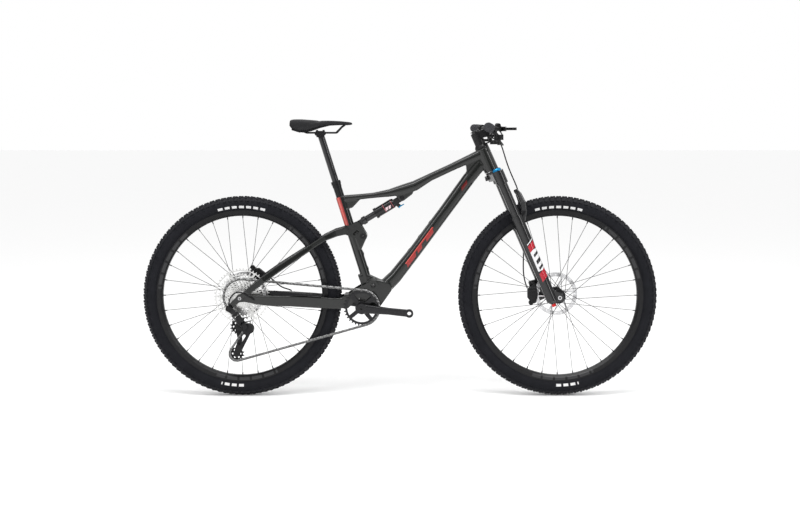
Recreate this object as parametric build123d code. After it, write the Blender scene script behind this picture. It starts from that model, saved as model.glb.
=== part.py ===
"""Full-suspension mountain bike with 29 inch wheels, as an assembly of separate pieces.

Frame: +X is forward, +Y is the rider's left, +Z is up, and Z = 0 is the ground. The origin is
the bottom centre of the bicycle's box, midway between the axles. The drive side is at -Y.
"""

import os
from math import asin, atan2, cos, hypot, pi, radians, sin, tan

from build123d import *

# ---------------------------------------------------------------- driving dimensions (mm)
WHEELBASE = 1167.8
TYRE_RADIUS = 368.5
TYRE_WIDTH = 57.0
TYRE_WALL = 3.0
RIM_OUTER_RADIUS = 317.0
RIM_INNER_RADIUS = 295.0
RIM_WIDTH = 30.0
SPOKE_COUNT = 32
SPOKE_RADIUS = 0.9
ROTOR_RADIUS = 80.0
ROTOR_THICKNESS = 1.8
FRONT_HUB_WIDTH = 110.0
REAR_HUB_WIDTH = 148.0
FRONT_AXLE_RADIUS = 7.5
REAR_AXLE_RADIUS = 6.0

HEAD_ANGLE = 67.0
STEER_POINT = (322.3, 871.8)
HEAD_TUBE_LENGTH = 92.0
HEAD_TUBE_RADIUS = 26.0
STEERER_RADIUS = 14.3
FORK_RAKE = 44.0
LEG_SETBACK = 29.7
LEG_SPACING = 132.0
STANCHION_RADIUS = 17.0
LEG_RADIUS = 21.5
FORK_TRAVEL = 120.0
CROWN_DROP = 52.0

SEAT_ANGLE = 72.33
SEAT_POINT = (-264.8, 869.9)
SEAT_TUBE_RADIUS = 18.0
SEAT_TUBE_TOP = 735.0
POST_OUTER_RADIUS = 15.4
POST_INNER_RADIUS = 12.5
POST_COLLAR_HEIGHT = 792.0
POST_HEAD_HEIGHT = 968.0
POST_TRAVEL = 150.0

BB_X = -140.6
BB_Z = 329.3
BB_SHELL_RADIUS = 23.5
BB_SHELL_WIDTH = 84.0
CRANK_LENGTH = 175.0
CRANK_ANGLE = -5.3
CRANK_OFFSET = 86.0
SPINDLE_RADIUS = 12.0
PEDAL_HOLE_RADIUS = 7.1

CHAIN_PITCH = 12.7
ROLLER_RADIUS = 3.85
RING_TEETH = 32
RING_Y = -49.0
COGS = (50, 42, 36, 32, 28, 24, 21, 18, 16, 14, 12, 10)
COG_SPACING = 3.65
COG_FIRST_Y = -30.0
COG_THICKNESS = 1.8
ENGAGED_COG = 3
PULLEY_TEETH = 13

MAIN_PIVOT = (-98.6, 409.7)
ROCKER_PIVOT = (-137.6, 589.8)
STAY_PIVOT = (-202.6, 609.9)
SHOCK_REAR = (-155.8, 632.6)
SHOCK_FRONT = (7.2, 730.6)
SHOCK_CAN_RADIUS = 18.5
SHOCK_SHAFT_RADIUS = 12.0
PIVOT_BOLT_RADIUS = 4.0
OPEN_PIVOT_GAP = 3.3

BAR_WIDTH = 760.0
BAR_CLAMP = (338.0, 979.0)
BAR_RADIUS = 11.1
BAR_CLAMP_RADIUS = 15.9
GRIP_LENGTH = 134.0
GRIP_RADIUS = 16.0

RUN_FIT = 0.05
SEAT_FIT = 0.05
TOUCH_GAP = 0.3
HOSE_RADIUS = 2.5

# ---------------------------------------------------------------- derived places
REAR_AXLE = (-WHEELBASE / 2, TYRE_RADIUS)
FRONT_AXLE = (WHEELBASE / 2, TYRE_RADIUS)
STEER_UP = (-cos(radians(HEAD_ANGLE)), sin(radians(HEAD_ANGLE)))
STEER_FORWARD = (STEER_UP[1], -STEER_UP[0])
SEAT_UP = (-cos(radians(SEAT_ANGLE)), sin(radians(SEAT_ANGLE)))
SHELL_HALF = BB_SHELL_WIDTH / 2
LEG_Y = LEG_SPACING / 2


# ---------------------------------------------------------------- shape helpers
def slab(sketch, y_low, y_high):
    """A sketch drawn in X and Z, thickened from y_low to y_high."""
    return extrude(Plane.XZ.offset(-y_high) * sketch, y_high - y_low, dir=(0, -1, 0))


def disc(x, z, y_low, y_high, radius):
    return slab(Pos(x, z) * Circle(radius), y_low, y_high)


def ring(x, z, y_low, y_high, outer, inner):
    return slab(Pos(x, z) * (Circle(outer) - Circle(inner)), y_low, y_high)


def rod(start, end, radius, end_radius=None):
    """A round bar between two points, tapered where end_radius is given."""
    start, end = Vector(*start), Vector(*end)
    along = end - start
    plane = Plane(origin=start, z_dir=along)
    if end_radius is None:
        return plane * (Pos(0, 0, along.length / 2) * Cylinder(radius, along.length))
    return plane * (Pos(0, 0, along.length / 2) * Cone(radius, end_radius, along.length))


def pipe(start, end, outer, inner):
    start, end = Vector(*start), Vector(*end)
    along = end - start
    profile = Circle(outer) - Circle(inner)
    return extrude(Plane(origin=start, z_dir=along) * profile, along.length)


def hull_plate(circles, y_low, y_high):
    """A plate whose outline wraps round circles given as x, z, radius."""
    edges = []
    for x, z, radius in circles:
        edges += (Pos(x, z) * Circle(radius)).edges()
    return slab(make_hull(edges), y_low, y_high)


def plate(points, y_low, y_high):
    return slab(Polygon(*points, align=None), y_low, y_high)


def section(centre, along, width, height, corner=0.42):
    """A rounded rectangle across a member: width runs along Y, height across the member."""
    plane = Plane(origin=centre, x_dir=(0, 1, 0), z_dir=along)
    return plane * RectangleRounded(width, height, corner * min(width, height))


def member(stations, ruled=True):
    """A tapering tube through stations of x, y, z, width, height."""
    sections = []
    last = len(stations) - 1
    for index, (x, y, z, width, height) in enumerate(stations):
        before = stations[max(index - 1, 0)]
        after = stations[min(index + 1, last)]
        along = Vector(after[0] - before[0], 0, after[2] - before[2])
        sections.append(section((x, y, z), along, width, height))
    return loft(sections, ruled=ruled)


def thinner(stations, wall):
    return [(x, y, z, w - 2 * wall, h - 2 * wall) for x, y, z, w, h in stations]


def both_sides(shape):
    return [shape, mirror(shape, Plane.XZ)]


def steer_point(up, forward=0.0, y=0.0):
    """A point measured up the steering axis from STEER_POINT and forward of it."""
    x = STEER_POINT[0] + up * STEER_UP[0] + forward * STEER_FORWARD[0]
    z = STEER_POINT[1] + up * STEER_UP[1] + forward * STEER_FORWARD[1]
    return (x, y, z)


def seat_point(z, y=0.0, forward=0.0):
    """The point of the seat axis at height z, moved forward square to the axis."""
    x = SEAT_POINT[0] + (z - SEAT_POINT[1]) * SEAT_UP[0] / SEAT_UP[1]
    return (x + forward * SEAT_UP[1], y, z - forward * SEAT_UP[0])


def between(a, b, share):
    return tuple(p + (q - p) * share for p, q in zip(a, b))


def hose(points, radius):
    """A hose through points, with each bend as wide as its two runs allow."""
    points = [Vector(*p) for p in points]
    radii = []
    for before, here, after in zip(points, points[1:], points[2:]):
        arriving, leaving = here - before, after - here
        turn = radians(arriving.get_angle(leaving))
        radii.append(0.45 * min(arriving.length, leaving.length) / tan(turn / 2))
    path = FilletPolyline(*points, radius=radii)
    tube = sweep(Plane(origin=path @ 0, z_dir=path % 0) * Circle(radius), path=path)
    expected = pi * radius ** 2 * path.length
    print("hose length %.0f, smallest bend %.0f, volume ratio %.3f"
          % (path.length, min(radii), tube.volume / expected))
    return tube


def save(name, *shapes):
    """Writes one node: every solid of the shapes given."""
    solids = []
    for shape in shapes:
        solids += shape.solids()
    body = solids[0] if len(solids) == 1 else Compound(children=solids)
    export_step(body, os.path.join("parts", name + ".step"))


# ---------------------------------------------------------------- wheels
def spin(profile, axle, y=0.0):
    """A profile of radius and Y turned about an axle."""
    return Pos(axle[0], y, axle[1]) * revolve(profile, Axis.Y)


def make_tyre(axle):
    casing = TYRE_WIDTH / 2
    middle = TYRE_RADIUS - casing
    lip = RIM_WIDTH / 2 - 2.8
    outer = Pos(middle, 0) * Circle(casing)
    inner = Pos(middle, 0) * Circle(casing - TYRE_WALL)
    wall = outer - inner - Pos(RIM_OUTER_RADIUS - 10 + 0.3, 0) * Rectangle(20, 60)
    bead = Pos(RIM_OUTER_RADIUS - 1.0, lip - 1.9) * Rectangle(8.5, 3.4)
    profile = wall + bead + mirror(bead, Plane.XZ)
    return spin(profile, axle)


def make_rim(axle):
    half = RIM_WIDTH / 2
    top, low = RIM_OUTER_RADIUS, RIM_INNER_RADIUS
    side = [(low, 7), (low + 8, half - 0.6), (top, half), (top, half - 2.4), (top - 6, half - 2.6),
            (top - 8, half - 6), (top - 9.5, 4)]
    outline = side + [(r, -y) for r, y in reversed(side)]
    hollow = [(low + 2, 5.6), (low + 9, half - 3.2), (top - 11, half - 5.5), (top - 12.5, 3)]
    hollow += [(r, -y) for r, y in reversed(hollow)]
    profile = Polygon(*outline, align=None) - Polygon(*hollow, align=None)
    rim = spin(profile, axle)
    drill = Pos(0, 0, low) * Cylinder(2.3, 12)
    holes = [Pos(axle[0], 0, axle[1]) * Rot(0, angle, 0) * drill for angle in spoke_angles()]
    return rim - Compound(children=[hole.solids()[0] for hole in holes])


def spoke_angles():
    return [index * 360 / SPOKE_COUNT for index in range(SPOKE_COUNT)]


def wheel_point(axle, angle, radius, y):
    return (axle[0] + radius * sin(radians(angle)), y, axle[1] + radius * cos(radians(angle)))


def make_spokes(axle, flange_radius, left_y, right_y, flange_half):
    """Three-cross lacing: each spoke has its elbow, its shank and its nipple."""
    step = 720 / SPOKE_COUNT
    offset = flange_half + SPOKE_RADIUS + 2.2
    spokes = []
    for side_y, first in ((left_y, 0.0), (right_y, step / 2)):
        for index in range(SPOKE_COUNT // 2):
            sense = 1 if index % 2 == 0 else -1
            hub_angle = first + index * step
            rim_angle = hub_angle + sense * 3 * step
            out = sense * offset
            start = wheel_point(axle, hub_angle, flange_radius, side_y + out)
            elbow = wheel_point(axle, hub_angle, flange_radius, side_y - sense * (flange_half + 0.8))
            inner_end = wheel_point(axle, rim_angle, RIM_INNER_RADIUS - 9, 0)
            tip = wheel_point(axle, rim_angle, RIM_INNER_RADIUS + 5, 0)
            shank = rod(start, inner_end, SPOKE_RADIUS)
            spoke = shank + Pos(*start) * Sphere(SPOKE_RADIUS + 0.03) + rod(start, elbow, SPOKE_RADIUS)
            spokes.append(spoke + rod(inner_end, tip, 2.0))
    return spokes


def make_hub(axle, flange_radius, left_y, right_y, flange_half, ends, bore, shell_radius):
    """Hub shell with two flanges, and its two bearings."""
    left_end, right_end = ends
    rim = flange_radius + 3.6
    neck = flange_radius - 4
    outline = [(bore + 2.5, right_end), (shell_radius - 2, right_end), (shell_radius - 2, right_y - 4),
               (neck, right_y - flange_half - 0.5), (rim, right_y - flange_half), (rim, right_y + flange_half),
               (neck, right_y + flange_half + 0.5), (shell_radius, right_y + 8), (shell_radius, left_y - 8),
               (neck, left_y - flange_half - 0.5), (rim, left_y - flange_half), (rim, left_y + flange_half),
               (neck, left_y + flange_half + 0.5), (shell_radius + 2, left_y + 5),
               (shell_radius + 2, left_end), (bore + 2.5, left_end)]
    shell = spin(Polygon(*outline, align=None), axle)
    seat = shell_radius - 3.5
    for low, high in ((right_end - 1, right_end + 8), (left_end - 8, left_end + 1)):
        shell -= disc(axle[0], axle[1], low, high, seat + SEAT_FIT)
    step = 720 / SPOKE_COUNT
    drills = []
    for side_y, first in ((left_y, 0.0), (right_y, step / 2)):
        for index in range(SPOKE_COUNT // 2):
            x, _, z = wheel_point(axle, first + index * step, flange_radius, 0)
            drills.append(disc(x, z, side_y - 3.5, side_y + 3.5, SPOKE_RADIUS + 0.1).solids()[0])
    shell -= Compound(children=drills)
    bearings = [ring(axle[0], axle[1], right_end, right_end + 7.5, seat, bore),
                ring(axle[0], axle[1], left_end - 7.5, left_end, seat, bore)]
    return [shell] + bearings


def make_rotor(axle, y, hub_radius):
    """Brake disc: a drilled track on six swept arms round a centre ring."""
    half = ROTOR_THICKNESS / 2
    track = Circle(ROTOR_RADIUS) - Circle(ROTOR_RADIUS - 15)
    disc_sketch = track + (Circle(hub_radius + 9) - Circle(hub_radius + 0.1))
    for index in range(6):
        arm = Pos((ROTOR_RADIUS - 12 + hub_radius + 6) / 2, 0) * Rectangle(ROTOR_RADIUS - 18 - hub_radius + 6, 6)
        disc_sketch += Rot(0, 0, index * 60) * Pos(0, hub_radius * 0.5) * arm
    holes = Sketch()
    for index in range(24):
        radius = ROTOR_RADIUS - (5 if index % 2 else 10)
        holes += Rot(0, 0, index * 15) * Pos(radius, 0) * Circle(2.2)
    rotor = slab(Pos(*axle) * (disc_sketch - holes), y - half, y + half)
    lockring = ring(*axle, y + half + 0.1, y + half + 3.5, hub_radius + 5, hub_radius + 0.1)
    return [rotor, lockring]


# ---------------------------------------------------------------- toothed parts
def pitch_radius(teeth):
    return CHAIN_PITCH / 2 / sin(pi / teeth)


def tooth_outline(teeth, phase=0.0, tip=2.5):
    """Sprocket outline with a tooth gap centred at the angle phase, in radians."""
    radius = pitch_radius(teeth)
    flank = [(-4.05, 3.9), (-2.6, 2.5), (0.0, 1.9), (tip, 0.8)]
    points = []
    for index in range(teeth):
        centre = phase + (index + 0.5) * 2 * pi / teeth
        shape = [(d, -h) for d, h in flank] + [(d, h) for d, h in reversed(flank)]
        for depth, half in shape:
            reach = radius + depth
            angle = centre + half / reach
            points.append((reach * cos(angle), reach * sin(angle)))
    return Polygon(*points, align=None)


def tangent(first, second):
    """The straight run between two sprockets, each given as centre, radius and sense."""
    (x1, z1), r1, s1 = first
    (x2, z2), r2, s2 = second
    gap = hypot(x2 - x1, z2 - z1)
    heading = atan2(z2 - z1, x2 - x1) + asin((s2 * r2 - s1 * r1) / gap)
    left = (-sin(heading), cos(heading))
    start = (x1 + s1 * r1 * left[0], z1 + s1 * r1 * left[1])
    end = (x2 + s2 * r2 * left[0], z2 + s2 * r2 * left[1])
    return heading, start, end


# ---------------------------------------------------------------- front frame
TOP_TUBE = [(-205, 0, 728, 34, 24), (-149, 0, 734, 38, 20), (-100, 0, 739, 42, 19),
            (-40, 0, 748, 46, 27), (10, 0, 760, 50, 38), (56, 0, 775, 48, 38),
            (111, 0, 806, 44, 28), (186, 0, 841, 44, 27), (250, 0, 871, 46, 30), (296, 0, 892, 44, 34)]
DOWN_TUBE = [(300, 0, 858, 40, 46), (252, 0, 797, 44, 47), (167, 0, 681, 52, 44), (56, 0, 532, 58, 45),
             (-19, 0, 437, 60, 50), (-80, 0, 377, 60, 56), (-118, 0, 342, 60, 46)]
BOTTLE_BOSSES_DOWN = (641.0, 588.0, 537.0)
BOTTLE_BOSSES_SEAT = (519.0, 464.0)
BOTTLE_HOLE_RADIUS = 2.5
FRAME_LUG_HALF = 31.0
ROCKER_LUG_HALF = 19.0


def down_tube_top(z):
    """X of the down tube's upper face at height z, on its straight stretch."""
    (x1, _, z1, _, h1), (x2, _, z2, _, _) = DOWN_TUBE[2], DOWN_TUBE[3]
    slope = atan2(z1 - z2, x1 - x2)
    axis_x = x2 + (z - z2) / tan(slope)
    return axis_x - h1 / 2 / sin(slope), slope


def make_front_frame():
    top = SEAT_TUBE_TOP
    seat_tube = rod(seat_point(398), seat_point(top), SEAT_TUBE_RADIUS)
    head = rod(steer_point(-46), steer_point(46), HEAD_TUBE_RADIUS + 1.5, HEAD_TUBE_RADIUS)
    frame = member(TOP_TUBE) + member(DOWN_TUBE) + head + seat_tube
    frame += disc(BB_X, BB_Z, -SHELL_HALF, SHELL_HALF, BB_SHELL_RADIUS)
    cluster = hull_plate([(BB_X, BB_Z, BB_SHELL_RADIUS - 1), (MAIN_PIVOT[0], MAIN_PIVOT[1], 21),
                          (-52, 398, 22), (-86, 350, 22)], -FRAME_LUG_HALF, FRAME_LUG_HALF)
    web = plate([(-157, 446), (-141, 400), (-60, 390), (-50, 430), (-67, 424), (-111, 444)], -17, 17)
    rocker_lug = hull_plate([(ROCKER_PIVOT[0], ROCKER_PIVOT[1], 15.5), (-160, 600, 10), (-146, 545, 5)],
                            -ROCKER_LUG_HALF, ROCKER_LUG_HALF)
    gusset = plate([(-218, 708), (-190, 690), (-176, 694), (-146, 726), (-196, 738)], -13, 13)
    ears = hull_plate([(SHOCK_FRONT[0], SHOCK_FRONT[1], 12.5), (40, 750, 8), (-16, 748, 6)], -19.5, 19.5)
    throat = hull_plate([(258, 858, 14), (296, 880, 14), (262, 800, 14), (300, 838, 10)], -18, 18)
    frame += cluster + web + rocker_lug + gusset + ears + throat
    frame = frame - hull_plate([(SHOCK_FRONT[0], SHOCK_FRONT[1], 13.5), (SHOCK_FRONT[0] - 8, 690, 14),
                                (SHOCK_FRONT[0] + 12, 690, 14), (-30, 702, 12)], -12, 12)
    frame -= member(thinner(TOP_TUBE[5:], 3))
    frame -= member(thinner(DOWN_TUBE[1:6], 3.5))
    frame -= rod(steer_point(-47), steer_point(47), HEAD_TUBE_RADIUS - 5.8)
    frame -= rod(steer_point(-47), steer_point(-34), 24.5)
    frame -= rod(steer_point(34), steer_point(47), 21.0)
    frame -= rod(seat_point(470), seat_point(top + 2), POST_OUTER_RADIUS + 0.1)
    frame -= disc(BB_X, BB_Z, -SHELL_HALF - 1, SHELL_HALF + 1, 20.5)
    frame -= disc(*MAIN_PIVOT, -FRAME_LUG_HALF - 1, FRAME_LUG_HALF + 1, 9.0 + SEAT_FIT)
    frame -= disc(*ROCKER_PIVOT, -ROCKER_LUG_HALF - 1, ROCKER_LUG_HALF + 1, 6.0 + SEAT_FIT)
    frame -= disc(*SHOCK_FRONT, -25, 25, PIVOT_BOLT_RADIUS + SEAT_FIT)
    for z in BOTTLE_BOSSES_DOWN:
        x, slope = down_tube_top(z)
        out = Vector(-sin(slope), 0, cos(slope))
        foot = Vector(x, 0, z)
        frame += rod(foot - out * 3, foot + out * 2.2, 6.5)
        frame -= rod(foot - out * 8, foot + out * 4, BOTTLE_HOLE_RADIUS)
    for z in BOTTLE_BOSSES_SEAT:
        frame += rod(seat_point(z, 0, SEAT_TUBE_RADIUS - 2.3), seat_point(z, 0, SEAT_TUBE_RADIUS + 2), 6.0)
        frame -= rod(seat_point(z, 0, SEAT_TUBE_RADIUS - 5), seat_point(z, 0, SEAT_TUBE_RADIUS + 6),
                     BOTTLE_HOLE_RADIUS)
    return frame


def make_frame_bearings():
    """Headset bearings at both ends of the head tube, and the two bottom bracket cups."""
    upper = pipe(steer_point(34.5), steer_point(45.5), 20.9, STEERER_RADIUS + RUN_FIT)
    lower = pipe(steer_point(-46), steer_point(-34.5), 24.4, 19.9 + RUN_FIT)
    cups = []
    for side in (-1, 1):
        inner, outer = sorted((side * (SHELL_HALF - 14), side * (SHELL_HALF + 2.0)))
        cups.append(ring(BB_X, BB_Z, inner, outer, 20.45, SPINDLE_RADIUS + RUN_FIT))
    return [upper, lower] + cups


def make_frame_fasteners():
    """Hollow main pivot axle, rocker axle and the shock's front bolt."""
    main = ring(*MAIN_PIVOT, -46, 46, 9.0, 6.5)
    rocker = ring(*ROCKER_PIVOT, -27.5, 27.5, 6.0, 3.0)
    rocker += ring(*ROCKER_PIVOT, -29.5, -26.6, 10.0, 3.0) + ring(*ROCKER_PIVOT, 26.6, 29.5, 10.0, 3.0)
    shock = disc(*SHOCK_FRONT, -21.5, 21.5, PIVOT_BOLT_RADIUS)
    shock += disc(*SHOCK_FRONT, -24, -19.8, 7.0) + disc(*SHOCK_FRONT, 19.8, 24, 7.0)
    return [main, rocker, shock]


# ---------------------------------------------------------------- seat post and saddle
SADDLE_RAIL_Y = 22.0
SADDLE_RAIL_RADIUS = 3.5
# Stations of the saddle: X, half width, height of the crown, height of the lower edge
SADDLE = [(-411, 38, 1021, 998), (-398, 60, 1024, 984), (-368, 71, 1024, 975), (-335, 68, 1021, 980),
          (-300, 50, 1018, 992), (-262, 33, 1017, 1001), (-220, 24, 1017, 1003), (-184, 19, 1015, 1004),
          (-171, 12, 1012, 1005)]


def make_dropper_outer():
    tube = pipe(seat_point(510), seat_point(POST_COLLAR_HEIGHT), POST_OUTER_RADIUS, POST_INNER_RADIUS + 1.6)
    collar = pipe(seat_point(POST_COLLAR_HEIGHT - 12), seat_point(POST_COLLAR_HEIGHT), 18.0,
                  POST_INNER_RADIUS + RUN_FIT)
    collar += pipe(seat_point(POST_COLLAR_HEIGHT - 22), seat_point(POST_COLLAR_HEIGHT - 10), 16.6,
                   POST_INNER_RADIUS + RUN_FIT)
    return tube + collar


def make_dropper_inner():
    """Sliding shaft with the rail clamp on its head: lower cradle, upper clamps and two bolts."""
    head_z = POST_HEAD_HEIGHT
    x, _, z = seat_point(head_z)
    shaft = rod(seat_point(686), seat_point(head_z - 12), POST_INNER_RADIUS)
    head = hull_plate([(x, z - 8, 9), (x - 14, z - 1, 6), (x + 14, z - 1, 6)], -13, 13)
    shaft = shaft + head
    rails = [disc_x(x - 20, x + 20, side * SADDLE_RAIL_Y, z + 3.5, SADDLE_RAIL_RADIUS + 0.1) for side in (-1, 1)]
    lower = Pos(x, 0, z + 0.2) * Box(34, 54, 7)
    upper = Pos(x, 0, z + 7.4) * Box(32, 56, 6.6)
    for rail in rails:
        lower -= rail
        upper -= rail
    lower -= shaft
    bolts = []
    for offset in (-12, 12):
        bolts.append(Pos(x + offset, 0, z) * Cylinder(2.5, 26) + Pos(x + offset, 0, z + 12.7) * Cylinder(4, 3.5))
    for bolt in bolts:
        shaft -= rod((bolt.center().X, 0, z - 30), (bolt.center().X, 0, z + 20), 2.6)
        lower -= rod((bolt.center().X, 0, z - 30), (bolt.center().X, 0, z + 20), 2.6)
        upper -= rod((bolt.center().X, 0, z - 30), (bolt.center().X, 0, z + 20), 2.6)
    return [shaft, lower, upper] + bolts


def disc_x(x_low, x_high, y, z, radius):
    return rod((x_low, y, z), (x_high, y, z), radius)


def arch_section(x, half, crown, edge, thickness):
    """A domed strip across the saddle, open below."""
    steps = [k / 6 for k in range(-6, 7)]
    outer = [(half * s, edge + (crown - edge) * (1 - abs(s) ** 2.6)) for s in steps]
    rise = max(crown - edge - thickness, 2.0)
    inner = [((half - thickness * 0.8) * s, edge + rise * (1 - abs(s) ** 2.6)) for s in reversed(steps)]
    return Plane(origin=(x, 0, 0), x_dir=(0, 1, 0), z_dir=(1, 0, 0)) * Polygon(*outer, *inner, align=None)


def make_saddle_pad():
    return loft([arch_section(x, half, crown, edge, 9.0) for x, half, crown, edge in SADDLE], ruled=True)


def shell_section(x, half, rise, edge):
    """A thin strip that follows the pad's underside."""
    steps = [k / 6 for k in range(-6, 7)]
    arch = [(half * s, rise * (1 - abs(s) ** 2.6)) for s in steps]
    top = [(y, edge + z) for y, z in arch]
    low = [(y, edge + z - 3.0) for y, z in reversed(arch)]
    return Plane(origin=(x, 0, 0), x_dir=(0, 1, 0), z_dir=(1, 0, 0)) * Polygon(*top, *low, align=None)


def make_saddle_shell():
    """Moulded base under the pad, and the bent rail wire clamped below it."""
    base = loft([shell_section(x, half - 8.2, max(crown - edge - 9.0, 2.0) - 0.9, edge)
                 for x, half, crown, edge in SADDLE[1:-1]], ruled=True)
    nose, clamp, tail = -205, 971.5, -392
    rails = []
    for side in (-1, 1):
        y = side * SADDLE_RAIL_Y
        route = [(nose, side * 7, 1000.5), (-216, side * 12, 993), (-236, y, clamp), (-345, y, clamp),
                 (-368, side * 26, 981), (tail, side * 29, 996)]
        path = FilletPolyline(*route, radius=[6, 8, 9, 9])
        rail = sweep(Plane(origin=path @ 0, z_dir=path % 0) * Circle(SADDLE_RAIL_RADIUS), path=path)
        rails.append(rail)
    nose_block = Pos(nose + 2, 0, 1002) * Box(20, 22, 5)
    tail_blocks = [Pos(tail - 1, side * 29, 997.5) * Box(18, 10, 12) for side in (-1, 1)]
    for block in [nose_block] + tail_blocks:
        base += block
    for rail in rails:
        base -= rail
    return [base] + rails


# ---------------------------------------------------------------- fork
LEG_FORWARD = FORK_RAKE - LEG_SETBACK


def axial(point):
    """Distance of a point up the steering axis from STEER_POINT."""
    return (point[0] - STEER_POINT[0]) * STEER_UP[0] + (point[1] - STEER_POINT[1]) * STEER_UP[1]


AXLE_UP = axial(FRONT_AXLE)
CROWN_TOP = -48.0
CROWN_BOTTOM = CROWN_TOP - CROWN_DROP
WIPER_UP = CROWN_BOTTOM - FORK_TRAVEL - 9.0
LEG_BOTTOM = AXLE_UP + 2.0


def make_fork_upper():
    """Steerer, crown and both stanchions."""
    steerer = rod(steer_point(CROWN_TOP - 12), steer_point(CROWN_TOP + 22), 19.9)
    steerer += rod(steer_point(CROWN_TOP + 22), steer_point(CROWN_TOP + 52), 19.9, STEERER_RADIUS)
    steerer += rod(steer_point(CROWN_TOP + 52), steer_point(112), STEERER_RADIUS)
    steerer -= rod(steer_point(CROWN_TOP - 2), steer_point(113), STEERER_RADIUS - 2.6)
    crown_plane = Plane(origin=steer_point(CROWN_BOTTOM), x_dir=(0, 1, 0),
                        z_dir=(STEER_UP[0], 0, STEER_UP[1]))
    crown = rod(steer_point(CROWN_BOTTOM + 22), steer_point(CROWN_TOP), 25.5)
    for side in (-1, 1):
        edges = (Pos(side * LEG_Y, -LEG_FORWARD) * Circle(22)).edges() + Circle(25).edges()
        crown += extrude(crown_plane.offset(20) * make_hull(edges), CROWN_DROP - 26, dir=(STEER_UP[0], 0, STEER_UP[1]))
        foot = steer_point(CROWN_BOTTOM, LEG_FORWARD, side * LEG_Y)
        crown += rod(foot, steer_point(CROWN_TOP - 2, LEG_FORWARD, side * LEG_Y), 22)
    bumper = rod(steer_point(CROWN_TOP - 16, -34, -10), steer_point(CROWN_TOP - 16, -34, 10), 9)
    bumper += rod(steer_point(CROWN_TOP - 16, -34), steer_point(CROWN_TOP - 18, -20), 9)
    fork = crown + bumper + steerer
    fork -= rod(steer_point(CROWN_BOTTOM - 1), steer_point(CROWN_TOP + 3), STEERER_RADIUS - 2.6)
    for side in (-1, 1):
        foot = steer_point(WIPER_UP - 118, LEG_FORWARD, side * LEG_Y)
        top = steer_point(CROWN_TOP - 1.5, LEG_FORWARD, side * LEG_Y)
        fork += rod(foot, top, STANCHION_RADIUS)
        fork -= rod(foot, steer_point(CROWN_TOP - 14, LEG_FORWARD, side * LEG_Y), STANCHION_RADIUS - 2.5)
    return fork


def make_compression_knob():
    y = -LEG_Y
    knob = rod(steer_point(CROWN_TOP - 1.2, LEG_FORWARD, y), steer_point(CROWN_TOP + 4, LEG_FORWARD, y), 16)
    top = rod(steer_point(CROWN_TOP + 4, LEG_FORWARD, y), steer_point(CROWN_TOP + 8, LEG_FORWARD, y), 16, 13)
    lever = Plane(origin=steer_point(CROWN_TOP + 2, LEG_FORWARD, y), x_dir=(0, 1, 0),
                  z_dir=(STEER_UP[0], 0, STEER_UP[1])) * (Pos(-13, 10, 0) * Box(8, 12, 5))
    return knob + top + lever


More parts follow.
